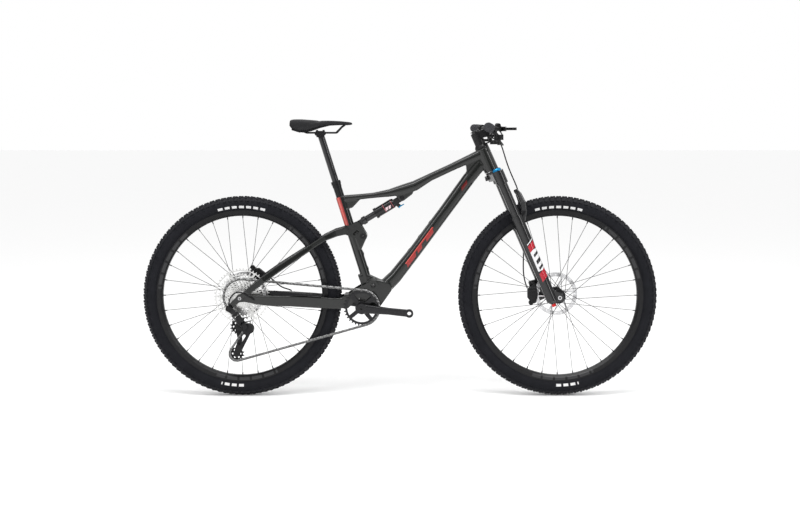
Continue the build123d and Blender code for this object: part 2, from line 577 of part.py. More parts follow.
def make_fork_lowers():
    """Two legs joined by the arch, with dropouts, and a separate wiper seal in each leg's mouth."""
    parts = []
    wipers = []
    for side in (-1, 1):
        y = side * LEG_Y
        top = steer_point(WIPER_UP - 6, LEG_FORWARD, y)
        shoulder = steer_point(WIPER_UP - 30, LEG_FORWARD, y)
        foot = steer_point(LEG_BOTTOM, LEG_FORWARD, y)
        leg = rod(foot, shoulder, LEG_RADIUS - 1.5, LEG_RADIUS) + rod(shoulder, top, LEG_RADIUS)
        leg += rod(steer_point(LEG_BOTTOM - 10, LEG_FORWARD, y), foot, 12, LEG_RADIUS - 1.5)
        inner, outer = sorted((side * (FRONT_HUB_WIDTH / 2 + TOUCH_GAP), side * (LEG_Y + 8)))
        lug = hull_plate([(FRONT_AXLE[0], FRONT_AXLE[1], 15),
                          (steer_point(AXLE_UP + 8, LEG_FORWARD)[0], steer_point(AXLE_UP + 8, LEG_FORWARD)[2], 13),
                          (steer_point(AXLE_UP + 42, LEG_FORWARD + 6)[0],
                           steer_point(AXLE_UP + 42, LEG_FORWARD + 6)[2], 8)], inner, outer)
        parts.append(leg + lug)
        bore_foot = steer_point(WIPER_UP - 255, LEG_FORWARD, y)
        wipers.append(pipe(steer_point(WIPER_UP - 5.9, LEG_FORWARD, y), steer_point(WIPER_UP, LEG_FORWARD, y),
                           LEG_RADIUS - 0.5, STANCHION_RADIUS + 0.08))
        parts.append(rod(bore_foot, steer_point(WIPER_UP + 60, LEG_FORWARD, y), STANCHION_RADIUS + 0.08))
    arch_points = [(-22, 14, LEG_Y - 3, 24, 20), (6, 34, LEG_Y - 3, 22, 18), (34, 44, 50, 20, 17),
                   (66, 44, 30, 18, 17), (79, 40, 0, 17, 18)]
    right_half = [(up, fwd, -y, w, h) for up, fwd, y, w, h in arch_points]
    stations = right_half + [(up, fwd, y, w, h) for up, fwd, y, w, h in reversed(arch_points[:-1])]
    centres = [Vector(*steer_point(WIPER_UP + up, LEG_FORWARD + fwd, y)) for up, fwd, y, w, h in stations]
    faces = []
    for index, (up, fwd, y, wide, deep) in enumerate(stations):
        along = centres[min(index + 1, len(centres) - 1)] - centres[max(index - 1, 0)]
        forward = Vector(STEER_FORWARD[0], 0, STEER_FORWARD[1])
        side_dir = along.cross(forward).normalized()
        plane = Plane(origin=centres[index], x_dir=side_dir, z_dir=along)
        faces.append(plane * RectangleRounded(deep * 0.8, wide, 0.35 * deep * 0.8))
    arch = loft(faces, ruled=True)
    lowers = parts[0] + parts[2] + arch
    lowers -= parts[1]
    lowers -= parts[3]
    lug_low, lug_high = CALIPER_EAR_FRONT + 0.1, CALIPER_EAR_FRONT + 9
    ears = [caliper_point(FRONT_AXLE, FRONT_CALIPER_ANGLE, 92, s) for s in (-37, 37)]
    lug = hull_plate([(ears[0][0], ears[0][1], 8), (546, 420, 8), (552, 385, 8)], lug_low, lug_high)
    lug += hull_plate([(ears[1][0], ears[1][1], 8), (552, 385, 8), (558, 360, 6)], lug_low, lug_high)
    bore_tool = rod(steer_point(WIPER_UP - 256, LEG_FORWARD, LEG_Y), steer_point(WIPER_UP, LEG_FORWARD, LEG_Y),
                    STANCHION_RADIUS + 0.08)
    lowers += lug - bore_tool
    for x, z in ears:
        lowers -= disc(x, z, lug_low - 1, lug_high + 1, 3.05)
    lowers -= disc(*FRONT_AXLE, -90, 90, FRONT_AXLE_RADIUS + SEAT_FIT)
    return [lowers] + wipers


def make_front_axle():
    """Through axle with its head, and the two end caps that space the hub."""
    half = FRONT_HUB_WIDTH / 2
    axle = ring(*FRONT_AXLE, -LEG_Y - 7, LEG_Y + 9, FRONT_AXLE_RADIUS, 4)
    axle += ring(*FRONT_AXLE, LEG_Y + 8.2, LEG_Y + 13, 11, 4)
    caps = [ring(*FRONT_AXLE, -half + 0.1, -half + 6.7, 11, FRONT_AXLE_RADIUS + SEAT_FIT),
            ring(*FRONT_AXLE, half - 6.7, half - 0.1, 11, FRONT_AXLE_RADIUS + SEAT_FIT)]
    return [axle] + caps


def make_rebound_knob():
    y = -LEG_Y
    low, high = LEG_BOTTOM - 23, LEG_BOTTOM - 13
    return rod(steer_point(low, LEG_FORWARD, y), steer_point(high, LEG_FORWARD, y), 8, 9)


# ---------------------------------------------------------------- brakes
FRONT_ROTOR_Y = 39.5
REAR_ROTOR_Y = 57.0
CALIPER_EAR_FRONT = 61.9
CALIPER_EAR_REAR = 71.7
FRONT_CALIPER_ANGLE = 180.0
REAR_CALIPER_ANGLE = 52.5
PAD_GAP = 0.35
PAD_THICKNESS = 3.6


def caliper_point(axle, angle, reach, side):
    """A point at a reach from the axle towards the caliper, moved sideways along the disc's edge."""
    u = (cos(radians(angle)), sin(radians(angle)))
    return (axle[0] + reach * u[0] - side * u[1], axle[1] + reach * u[1] + side * u[0])


def make_caliper(axle, rotor_y, angle, ear_y):
    """Two-piston caliper astride the disc, with two ears and their bolts."""
    def at(reach, side):
        return caliper_point(axle, angle, reach, side)

    outline = [(*at(84, -24), 11), (*at(84, 24), 11), (*at(99, -12), 8), (*at(99, 12), 8), (*at(78, 0), 10)]
    body = hull_plate(outline, rotor_y - 11, rotor_y + 11)
    body += disc(*at(85, 0), rotor_y - 13, rotor_y + 13, 10.5)
    ears = [at(92, -37), at(92, 37)]
    for ear in ears:
        body += hull_plate([(*ear, 7.5), (*at(88, 0), 8)], rotor_y + 5.6, rotor_y + 11)
        body += disc(*ear, rotor_y + 5.6, ear_y, 7.5)
    slot_half = ROTOR_THICKNESS / 2 + PAD_GAP + PAD_THICKNESS + 0.1
    body -= disc(axle[0], axle[1], rotor_y - slot_half, rotor_y + slot_half, ROTOR_RADIUS + 3)
    bolts = []
    for ear in ears:
        body -= disc(*ear, rotor_y, ear_y + 1, 3.05)
        bolts.append(disc(*ear, rotor_y + 5.5, ear_y + 7, 3.0) + disc(*ear, rotor_y + 2.6, rotor_y + 5.55, 5.0))
    return [body] + bolts


def make_pad(axle, rotor_y, angle, side):
    """Brake pad: friction block and backing plate with its tab."""
    inner = ROTOR_THICKNESS / 2 + PAD_GAP
    low, high = sorted((rotor_y + side * inner, rotor_y + side * (inner + PAD_THICKNESS)))
    corners = [caliper_point(axle, angle, r, s) for r, s in ((67, -13), (67, 13), (79, 15), (79, -15))]
    pad = plate(corners, low, high)
    return pad + disc(*caliper_point(axle, angle, 78, 0), low, high, 3.5)


# ---------------------------------------------------------------- cockpit
BAR_BEND = (333.0, 112.0, 986.0)
BAR_TIP = (299.0, BAR_WIDTH / 2 - 1, 990.0)
BAR_CLAMP_HALF = 42.0
SPACER_HEIGHTS = (60.5, 67.5, 74.5, 81.5)
STEM_LOW, STEM_HIGH = 82.0, 108.0


def bar_point(y):
    """The middle of the bar's outer stretch, abs(y) from the centre."""
    share = (abs(y) - BAR_BEND[1]) / (BAR_TIP[1] - BAR_BEND[1])
    x, _, z = between(BAR_BEND, BAR_TIP, share)
    return (x, y, z)


def bar_shape(grow):
    middle = [(BAR_CLAMP[0], side * BAR_CLAMP_HALF, BAR_CLAMP[1]) for side in (-1, 1)]
    bar = rod(middle[0], middle[1], BAR_CLAMP_RADIUS + grow)
    for side, start in zip((-1, 1), middle):
        bend = (BAR_BEND[0], side * BAR_BEND[1], BAR_BEND[2])
        tip = (BAR_TIP[0], side * BAR_TIP[1], BAR_TIP[2])
        taper = between(start, bend, 0.6)
        bar += rod(start, taper, BAR_CLAMP_RADIUS + grow, BAR_RADIUS + grow)
        bar += rod(taper, bend, BAR_RADIUS + grow) + rod(bend, tip, BAR_RADIUS + grow)
        bar += Pos(*bend) * Sphere(BAR_RADIUS + grow + 0.02)
        bar += Pos(*start) * Sphere(BAR_CLAMP_RADIUS + grow + 0.02)
    return bar


def make_handlebar():
    """The bar, hollow along each outer stretch."""
    bar = bar_shape(0)
    for side in (-1, 1):
        bar -= rod(bar_point(side * (BAR_BEND[1] + 6)), bar_point(side * (BAR_TIP[1] + 6)), BAR_RADIUS - 2.4)
    return bar


def make_grips():
    grips = []
    for side in (-1, 1):
        tip = side * BAR_TIP[1]
        inner = side * (BAR_TIP[1] - GRIP_LENGTH)
        grip = pipe(bar_point(inner), bar_point(tip + side * 0.2), GRIP_RADIUS, BAR_RADIUS + SEAT_FIT)
        grip += pipe(bar_point(inner), bar_point(inner + side * 9), GRIP_RADIUS + 1.2, BAR_RADIUS + SEAT_FIT)
        grip += pipe(bar_point(tip - side * 5), bar_point(tip + side * 0.2), GRIP_RADIUS + 2.0,
                     BAR_RADIUS + SEAT_FIT)
        grip += rod(bar_point(tip + side * 0.2), bar_point(tip + side * 2.2), GRIP_RADIUS + 2.0)
        grips.append(grip)
    return grips


def make_stem():
    """Stem, faceplate with four bolts, top cap, three spacers and the headset cover."""
    reach = Vector(BAR_CLAMP[0] - steer_point(95)[0], 0, BAR_CLAMP[1] - steer_point(95)[2]).normalized()
    up = Vector(-reach.Z, 0, reach.X)
    centre = Vector(BAR_CLAMP[0], 0, BAR_CLAMP[1])
    body = rod(steer_point(STEM_LOW), steer_point(STEM_HIGH), 20)
    mid = steer_point(95, 14)
    neck_end = centre - reach * 12
    body += hull_plate([(mid[0], mid[2], 13), (neck_end.X, neck_end.Z, 17)], -17, 17)
    clamp = disc(*BAR_CLAMP, -26, 26, 21)
    for y in (-19, 19):
        for rise in (-20, 20):
            spot = centre + up * rise + Vector(0, y, 0)
            clamp += rod(tuple(spot - reach * 11), tuple(spot + reach * 9), 4.6)
    frame_plane = Plane(origin=tuple(centre + reach * 1.0), x_dir=(0, 1, 0), z_dir=tuple(reach))
    front_block = frame_plane * (Pos(0, 0, 25) * Box(80, 80, 50))
    back_block = frame_plane * (Pos(0, 0, -26.2) * Box(80, 80, 50))
    faceplate = clamp & front_block
    body += clamp & back_block
    bolts = []
    bar_tool = disc(*BAR_CLAMP, -30, 30, BAR_CLAMP_RADIUS + SEAT_FIT)
    for y in (-19, 19):
        for rise in (-20, 20):
            spot = centre + up * rise + Vector(0, y, 0)
            bolt = rod(tuple(spot - reach * 9), tuple(spot + reach * 9), 2.4)
            head = rod(tuple(spot + reach * 9.05), tuple(spot + reach * 12), 4.0)
            bolts.append(bolt + head + rod(tuple(spot + reach * 8), tuple(spot + reach * 10), 2.4))
            hole = rod(tuple(spot - reach * 9.5), tuple(spot + reach * 9.04), 2.45)
            faceplate -= hole
            body -= hole
    body -= bar_tool
    faceplate -= bar_tool
    body -= rod(steer_point(STEM_LOW - 1), steer_point(STEM_HIGH + 1), STEERER_RADIUS + SEAT_FIT)
    body -= rod(steer_point(112), steer_point(150), 40)
    cap = rod(steer_point(112.1), steer_point(115.5), 18, 16.5)
    spacers = [pipe(steer_point(low), steer_point(high - 0.1), 20, STEERER_RADIUS + SEAT_FIT)
               for low, high in zip(SPACER_HEIGHTS, SPACER_HEIGHTS[1:])]
    cover = pipe(steer_point(46.4), steer_point(52), 25.6, STEERER_RADIUS + SEAT_FIT)
    cover += Plane(origin=steer_point(52), z_dir=(STEER_UP[0], 0, STEER_UP[1])) * (
        Pos(0, 0, 4.2) * (Cone(25.6, 21, 8.4) - Cylinder(STEERER_RADIUS + SEAT_FIT, 8.6)))
    return [body, faceplate, cap, cover] + bolts + spacers


LEVER_PIVOT = (366.0, 240.0, 985.0)
POD_CENTRE = (350.0, 190.0)


def flat_hull(circles, z_low, z_high):
    """Circles given as x, y, radius, wrapped two by two and thickened between two heights."""
    shape = Part()
    for first, second in zip(circles, circles[1:]):
        edges = (Pos(first[0], first[1]) * Circle(first[2])).edges()
        edges += (Pos(second[0], second[1]) * Circle(second[2])).edges()
        shape += extrude(Plane.XY.offset(z_low) * make_hull(edges), z_high - z_low, dir=(0, 0, 1))
    return shape


def post(x, y, z_low, z_high, radius):
    return rod((x, y, z_low), (x, y, z_high), radius)


def make_master():
    """Left brake lever body: bar clamp, cylinder, reservoir and the lever's clevis with its pin."""
    x, y, z = LEVER_PIVOT
    clamp = pipe(bar_point(218), bar_point(231), 16.0, BAR_RADIUS + SEAT_FIT)
    start = bar_point(224.5)
    arm = rod((start[0] + 12.5, 224.5, start[2] - 0.5), (352, 226, 986), 7.5)
    body = rod((353, 238, 985), (349, 166, 987), 9.5) + rod((347, 224, 997), (345, 176, 998), 8)
    nose = rod((353, 234, 985), (x - 3, y, z), 7.5)
    cheeks = flat_hull([(x - 8, y - 3, 8), (x, y, 7)], z - 8, z + 8)
    gap = flat_hull([(x - 3, y + 1, 9.5), (x + 12, y + 6, 10)], z - 5.2, z + 5.2)
    bar_tool = rod(bar_point(150), bar_point(300), BAR_RADIUS + SEAT_FIT)
    master = clamp + arm + body + nose + cheeks - gap - bar_tool
    return master + post(x, y, z - 8, z + 8, 2.5)


def make_blade():
    """Left brake lever blade with its hooked end and eye."""
    x, y, z = LEVER_PIVOT
    route = [(x, y, 5.5), (x + 6, y + 20, 4), (x + 14, y + 42, 3.6), (x + 22, y + 66, 3.6), (x + 27, y + 84, 3.6)]
    blade = flat_hull(route, z - 4.6, z + 4.6)
    blade += flat_hull([(x + 27, y + 84, 6.5), (x + 27.5, y + 86, 6.5)], z - 4.6, z + 4.6)
    blade -= post(x + 27.2, y + 85, z - 10, z + 10, 3.2)
    return blade - post(x, y, z - 10, z + 10, 2.5 + RUN_FIT)


def make_shifter_body():
    x, y = POD_CENTRE
    pod = post(x, y, 946, 965, 17) + flat_hull([(x, y, 14), (x - 4, y - 22, 10)], 948, 963)
    clamp = pipe(bar_point(199), bar_point(209), 15.5, BAR_RADIUS + SEAT_FIT)
    start = bar_point(204)
    arm = rod((start[0] + 8, 204, start[2] - 10), (x - 6, y + 8, 962), 7)
    axle = post(x, y, 930, 947, 3) + post(x, y, 928, 930.4, 5.5)
    bar_tool = rod(bar_point(150), bar_point(300), BAR_RADIUS + SEAT_FIT)
    return pod + clamp + arm + axle - bar_tool


def make_remote_body():
    x, y = POD_CENTRE
    pod = post(x, y, 948, 962, 12) + flat_hull([(x, y, 9), (x - 4, y - 20, 7)], 950, 961)
    clamp = pipe(bar_point(199), bar_point(209), 15.5, BAR_RADIUS + SEAT_FIT)
    start = bar_point(204)
    arm = rod((start[0] + 8, 204, start[2] - 10), (x - 4, y + 6, 959), 6)
    axle = post(x, y, 937, 949, 3) + post(x, y, 935, 937.4, 5.5)
    bar_tool = rod(bar_point(150), bar_point(300), BAR_RADIUS + SEAT_FIT)
    return pod + clamp + arm + axle - bar_tool


def make_paddle(z_low, z_high, tip):
    x, y = POD_CENTRE
    paddle = flat_hull([(x, y, 8), (x - 16, y + (tip[1] - y) * 0.3, 6), (*tip, 7)], z_low, z_high)
    return paddle - post(x, y, z_low - 1, z_high + 1, 3 + RUN_FIT)


# ---------------------------------------------------------------- swingarm, seatstays, rocker and shock
CHAINSTAY = [(-566, 77.2, 367, 6, 24), (-520, 72.5, 361, 11, 32), (-470, 64.5, 357, 12, 38),
             (-400, 54, 355, 13, 40), (-320, 46.5, 350, 12, 42), (-245, 42.5, 344, 11, 40),
             (-207, 38.5, 345, 10, 38)]
SEATSTAY = [(-583.9, 83.4, 368.5, 5.6, 16), (-556, 84.0, 390.5, 6.4, 21), (-500, 77.5, 435, 10, 24),
            (-439, 66.5, 478, 12, 24), (-366, 50.5, 526, 12, 22), (-325, 43.5, 553, 12, 21),
            (-275, 38.5, 585, 12, 22), (-236, 34, 602, 11, 26), (-203, 31.8, 610, 10, 28)]
HANGER_BOLT = (-623.0, 332.5)
ARM_INNER, ARM_OUTER = 33.0, 43.0
DROPOUT_INNER = REAR_HUB_WIDTH / 2 + TOUCH_GAP
DROPOUT_OUTER = 80.1


def make_chainstay():
    arm = member(CHAINSTAY)
    web = plate([(-228, 363), (-198, 371), (-168, 392), (-140, 409), (-107, 426), (-86, 395), (-118, 381),
                 (-165, 354), (-190, 327), (-228, 326)], ARM_INNER, ARM_OUTER)
    boss = disc(*MAIN_PIVOT, FRAME_LUG_HALF + TOUCH_GAP, ARM_OUTER, 14) + disc(*MAIN_PIVOT, ARM_INNER, ARM_OUTER, 19)
    dropout = hull_plate([(*REAR_AXLE, 14), (-560, 366, 11)], DROPOUT_INNER, DROPOUT_OUTER)
    left = arm + web + boss + dropout
    hanger = hull_plate([(REAR_AXLE[0] - 4, REAR_AXLE[1] - 2, 11), (*HANGER_BOLT, 9)], -DROPOUT_OUTER, -DROPOUT_INNER)
    bridge = Pos(-196.5, 0, 360) * Box(20, 2 * ARM_OUTER - 12, 30)
    swingarm = left + mirror(left, Plane.XZ) + hanger + fillet(bridge.edges().filter_by(Axis.Y), 6)
    swingarm -= disc(*MAIN_PIVOT, -50, 50, 9.0 + RUN_FIT)
    swingarm -= disc(*REAR_AXLE, -90, 90, REAR_AXLE_RADIUS + SEAT_FIT)
    swingarm -= disc(*HANGER_BOLT, -90, -70, 4.05)
    wheel_room = disc(*REAR_AXLE, -35, 35, TYRE_RADIUS + 5)
    return swingarm - wheel_room


def make_chainstay_guard():
    pad = plate([(-471, 378.5), (-474, 390), (-462, 392.5), (-300, 376), (-288, 371.8), (-400, 376.2)], -61, -47)
    stay = [(x, -y, z, w + 0.6, h + 0.6) for x, y, z, w, h in CHAINSTAY]
    return pad - member(stay)


def make_seatstay():
    arm = member(SEATSTAY)
    boss = disc(*REAR_AXLE, 80.6, 86.2, 14)
    eye = disc(*STAY_PIVOT, 26.8, 36.8, 14)
    left = arm + boss + eye
    bridge = rod((-262, -40, 594), (-262, 40, 594), 8)
    stays = left + mirror(left, Plane.XZ) + bridge
    ears = [caliper_point(REAR_AXLE, REAR_CALIPER_ANGLE, 92, s) for s in (-37, 37)]
    low, high = CALIPER_EAR_REAR + 0.1, CALIPER_EAR_REAR + 7.5
    for x, z in ears:
        stays += hull_plate([(x, z, 8), (-520, 419, 9)], low, high)
    for x, z in ears:
        stays -= disc(x, z, low - 3, high + 1, 3.05)
    stays -= disc(*STAY_PIVOT, -50, 50, PIVOT_BOLT_RADIUS + OPEN_PIVOT_GAP)
    stays -= disc(*REAR_AXLE, -100, 100, REAR_AXLE_RADIUS + RUN_FIT)
    return stays - disc(*REAR_AXLE, -DROPOUT_OUTER - 0.3, DROPOUT_OUTER + 0.3, 17)


def make_rocker():
    """Two link plates with the stay bolts, the shock bolt and their heads."""
    inner, outer = 19.6, 26.2
    link = hull_plate([(*STAY_PIVOT, 13.5), (*SHOCK_REAR, 10), (*ROCKER_PIVOT, 16)], inner, outer)
    link -= hull_plate([(-168, 598, 5), (-158, 606, 6)], inner - 1, outer + 1)
    stud = disc(*STAY_PIVOT, inner, 39.0, PIVOT_BOLT_RADIUS) + disc(*STAY_PIVOT, 38.8, 41.6, 10)
    left = link + stud
    rocker = left + mirror(left, Plane.XZ) + disc(*SHOCK_REAR, -outer, outer, PIVOT_BOLT_RADIUS)
    rocker += disc(*SHOCK_REAR, outer - 0.5, outer + 2.5, 7) + disc(*SHOCK_REAR, -outer - 2.5, -outer + 0.5, 7)
    return rocker - disc(*ROCKER_PIVOT, -30, 30, 6.0 + RUN_FIT)


SHOCK_LENGTH = hypot(SHOCK_FRONT[0] - SHOCK_REAR[0], SHOCK_FRONT[1] - SHOCK_REAR[1])


def shock_point(along, rise=0.0, y=0.0):
    """A point measured from the rear eye towards the front eye, raised square to that line."""
    u = ((SHOCK_FRONT[0] - SHOCK_REAR[0]) / SHOCK_LENGTH, (SHOCK_FRONT[1] - SHOCK_REAR[1]) / SHOCK_LENGTH)
    return (SHOCK_REAR[0] + along * u[0] - rise * u[1], y, SHOCK_REAR[1] + along * u[1] + rise * u[0])


def make_shock_body():
    can = pipe(shock_point(80), shock_point(150), SHOCK_CAN_RADIUS, SHOCK_SHAFT_RADIUS + 2.5)
    seal = pipe(shock_point(74), shock_point(84), SHOCK_CAN_RADIUS + 2, SHOCK_SHAFT_RADIUS + RUN_FIT)
    head = rod(shock_point(149), shock_point(157), SHOCK_CAN_RADIUS, SHOCK_CAN_RADIUS - 3)
    neck = hull_plate([(shock_point(155)[0], shock_point(155)[2], 11), (*SHOCK_FRONT, 11)], -10.5, 10.5)
    valve = rod(shock_point(160, -6), shock_point(166, -22), 7)
    body = can + seal + head + neck + valve
    return body - disc(*SHOCK_FRONT, -20, 20, PIVOT_BOLT_RADIUS + RUN_FIT)


def make_shock_shaft():
    shaft = rod(shock_point(24), shock_point(104), SHOCK_SHAFT_RADIUS)
    collar = rod(shock_point(20), shock_point(34), 15.5) + rod(shock_point(34), shock_point(37), 15.5, 12)
    eye = hull_plate([(*SHOCK_REAR, 11.0), (shock_point(22)[0], shock_point(22)[2], 11)], -9, 9)
    shaft = shaft + collar + eye
    return shaft - disc(*SHOCK_REAR, -20, 20, PIVOT_BOLT_RADIUS + OPEN_PIVOT_GAP)


def make_shock_lever():
    pivot = Vector(*shock_point(166, -22))
    down = (Vector(*shock_point(166, -22)) - Vector(*shock_point(160, -6))).normalized()
    dial = rod(tuple(pivot + down * 0.3), tuple(pivot + down * 4.3), 7.5)
    tip = pivot + down * 2.3 + Vector(*shock_point(18)) - Vector(*shock_point(0))
    return dial + rod(tuple(pivot + down * 2.3), tuple(tip), 2.2, 1.8)


# ---------------------------------------------------------------- crank and chainring
def crank_place(reach, side):
    """A point out along one crank arm: side is -1 for the drive side and 1 for the left."""
    return (BB_X - side * reach * cos(radians(CRANK_ANGLE)), BB_Z - side * reach * sin(radians(CRANK_ANGLE)))


def make_crankset():
    """Both arms, the hollow spindle and its left spacer."""
    crank = ring(BB_X, BB_Z, -78, 78, SPINDLE_RADIUS, SPINDLE_RADIUS - 3)
    for side in (-1, 1):
        stations = []
        for reach, y, width, height in ((2, 67, 20, 35), (34, 68, 19, 31), (100, 73, 15, 25),
                                        (CRANK_LENGTH, CRANK_OFFSET - 7, 14, 27)):
            x, z = crank_place(reach, side)
            stations.append((x, side * y, z, width, height))
        arm = member(stations)
        low, high = sorted((side * 56, side * 78))
        arm += disc(BB_X, BB_Z, low, high, 18.5)
        tip = crank_place(CRANK_LENGTH, side)
        low, high = sorted((side * (CRANK_OFFSET - 14), side * CRANK_OFFSET))
        arm += disc(*tip, low, high, 15)
        arm -= disc(*tip, low - 2, high + 2, PEDAL_HOLE_RADIUS)
        arm -= disc(BB_X, BB_Z, -90, 90, SPINDLE_RADIUS - 1)
        crank += arm
    crank += ring(BB_X, BB_Z, 44.3, 56.5, 16, SPINDLE_RADIUS - 1)
    caps = [ring(BB_X, BB_Z, 76, 79.5, SPINDLE_RADIUS - 3.05, 4), ring(BB_X, BB_Z, -79.5, -76, SPINDLE_RADIUS - 3.05, 4)]
    return [crank] + caps


def make_chainring(phase):
    """Narrow toothed ring on four arms, clamped on the spindle against the drive-side arm."""
    radius = pitch_radius(RING_TEETH)
    teeth = tooth_outline(RING_TEETH, phase) - Circle(radius - 9)
    ring_part = slab(Pos(BB_X, BB_Z) * teeth, RING_Y - 0.9, RING_Y + 0.9)
    web = Circle(radius - 4.6) - Circle(radius - 12)
    for index in range(4):
        angle = index * 90 + 45 + CRANK_ANGLE
        web += Rot(0, 0, angle) * Pos((radius + 10) / 2, 0) * Rectangle(radius - 22, 15)
    web += Circle(24)
    web -= Circle(SPINDLE_RADIUS + 0.05)
    ring_part += slab(Pos(BB_X, BB_Z) * web, RING_Y - 1.4, RING_Y + 1.4)
    return ring_part + ring(BB_X, BB_Z, -55.8, RING_Y + 1.5, 21, SPINDLE_RADIUS + 0.05)


# ---------------------------------------------------------------- cassette
def cog_y(index):
    return COG_FIRST_Y - COG_SPACING * index


def make_cassette(phase):
    """Twelve sprockets on the freehub body, with spacers between and a lockring outside."""
    x, z = REAR_AXLE
    bore = 17.05
    solids = []
    for index, teeth in enumerate(COGS):
        radius = pitch_radius(teeth)
        outline = tooth_outline(teeth, phase)
        if radius > 42:
            outline -= Circle(radius - 7.5)
            outline += Circle(25.5)
            for arm in range(6):
                reach = radius + 10
                outline += Rot(0, 0, arm * 60 + index * 6) * Pos(reach / 2, 0) * Rectangle(reach - 28, 8)
            outline -= Circle(bore)
        else:
            outline -= Circle(bore if radius > 22 else 13.05)
        y = cog_y(index)
        half = COG_THICKNESS / 2
        solids.append(slab(Pos(x, z) * outline, y - half, y + half))
    body = ring(x, z, -67.0, -28.6, 17.0, REAR_AXLE_RADIUS + RUN_FIT)
    body += ring(x, z, -71.2, -66.9, 13.0, REAR_AXLE_RADIUS + RUN_FIT)
    for index in range(len(COGS) - 2):
        outer = 21.0 if pitch_radius(COGS[index + 1]) > 24 else 18.0
        low, high = cog_y(index + 1) + COG_THICKNESS / 2 + 0.05, cog_y(index) - COG_THICKNESS / 2 - 0.05
        body += ring(x, z, low, high, outer, 15)
    return [body] + solids


# ---------------------------------------------------------------- derailleur
CAGE_PIVOT = (-553.9, 253.8)
GUIDE_OFFSET = (-42.4, 7.7)
TENSION_OFFSET = (-52.4, -90.7)
LINK_BASE = (-600.0, -90.0, 311.0)
LINK_LENGTH = 52.0
LINK_SLANT = 20.0
LINK_HEADING = -49.75
LINK_REST = 22.0
LINK_SPREAD = 9.0
LINK_BLOCK = 8.0
LINK_OUTER = 12.0
PIN_RADIUS = 2.4
CHAIN_REAR_Y = COG_FIRST_Y - COG_SPACING * ENGAGED_COG


def turned(offset, angle):
    return (offset[0] * cos(angle) - offset[1] * sin(angle), offset[0] * sin(angle) + offset[1] * cos(angle))


def cage_place(offset, swing):
    x, z = turned(offset, swing)
    return (CAGE_PIVOT[0] + x, CAGE_PIVOT[1] + z)


def chain_loop(swing):
    """Sprockets in the order the chain meets them: centre, pitch radius, sense, teeth and Y."""
    return [(REAR_AXLE, pitch_radius(COGS[ENGAGED_COG]), 1, COGS[ENGAGED_COG], CHAIN_REAR_Y),
            ((BB_X, BB_Z), pitch_radius(RING_TEETH), 1, RING_TEETH, RING_Y),
            (cage_place(TENSION_OFFSET, swing), pitch_radius(PULLEY_TEETH), 1, PULLEY_TEETH, CHAIN_REAR_Y),
            (cage_place(GUIDE_OFFSET, swing), pitch_radius(PULLEY_TEETH), -1, PULLEY_TEETH, CHAIN_REAR_Y)]


def chain_runs(swing):
    """Straight runs and arcs of the loop, each with its length in pitches."""
    loop = chain_loop(swing)
    runs = [tangent(loop[k][:3], loop[(k + 1) % 4][:3]) for k in range(4)]
    pieces = []
    for k in range(4):
        heading, start, end = runs[k]
        after = (k + 1) % 4
        centre, radius, sense, teeth, y = loop[after]
        pieces.append(("run", start, end, loop[k][4], y, hypot(end[0] - start[0], end[1] - start[1]) / CHAIN_PITCH))
        wrap = (sense * (heading - runs[after][0])) % (2 * pi)
        first = atan2(end[1] - centre[1], end[0] - centre[0])
        pieces.append(("arc", centre, radius, first, sense, y, wrap * teeth / (2 * pi), teeth))
    return pieces


def chain_pitches(swing):
    return sum(piece[5] if piece[0] == "run" else piece[6] for piece in chain_runs(swing))


def solve_cage_swing():
    """The small swing of the cage that makes the loop a whole, even number of pitches."""
    target = 2 * round(chain_pitches(0.0) / 2)
    low, high = -0.12, 0.3
    rising = chain_pitches(high) > chain_pitches(low)
    for _ in range(60):
        middle = (low + high) / 2
        if (chain_pitches(middle) < target) == rising:
            low = middle
        else:
            high = middle
    return (low + high) / 2, target


def chain_pins(swing, count):
    """Pin centres round the loop, and the angle of one pin on each sprocket."""
    pins = []
    phases = []
    travelled = 0.0
    for piece in chain_runs(swing):
        length = piece[5] if piece[0] == "run" else piece[6]
        index = len(pins)
        if piece[0] == "arc":
            _, centre, radius, first, sense, y, _, teeth = piece
            phases.append(first - sense * (index - travelled) * 2 * pi / teeth)
        while index < travelled + length - 1e-9 and index < count:
            share = index - travelled
            if piece[0] == "run":
                _, start, end, y_start, y_end, _ = piece
                part = share / length
                drift = min(max((share - 2.5) / max(length - 5, 1), 0), 1)
                pins.append((start[0] + (end[0] - start[0]) * part, y_start + (y_end - y_start) * drift,
                             start[1] + (end[1] - start[1]) * part))
            else:
                angle = first - sense * share * 2 * pi / teeth
                pins.append((centre[0] + radius * cos(angle), y, centre[1] + radius * sin(angle)))
            index += 1
        travelled += length
    return pins, phases


def make_chain(pins):
    """Alternate inner and outer links between the pin centres."""
    half = CHAIN_PITCH / 2
    ends = (Pos(-half, 0) * Circle(4.2)).edges() + (Pos(half, 0) * Circle(4.2)).edges()
    blank = make_hull(ends)
    outer_plate = slab(blank, 1.75, 2.45)
    outer = outer_plate + mirror(outer_plate, Plane.XZ)
    inner_plate = slab(blank - Pos(-half, 0) * Circle(2.0) - Pos(half, 0) * Circle(2.0), 1.05, 1.65)
    inner = inner_plate + mirror(inner_plate, Plane.XZ)
    for x in (-half, half):
        outer += disc(x, 0, -2.55, 2.55, 1.8)
        inner += ring(x, 0, -1.1, 1.1, ROLLER_RADIUS, 2.0)
    links = []
    for index, here in enumerate(pins):
        there = pins[(index + 1) % len(pins)]
        along = Vector(*there) - Vector(*here)
        centre = Vector(*here) + along * 0.5
        side = Vector(along.Z, 0, -along.X).normalized().cross(along).normalized()
        place = Plane(origin=centre, x_dir=along, z_dir=along.cross(side * -1))
        source = inner if index % 2 == 0 else outer
        links.append(place.location * source)
    return links


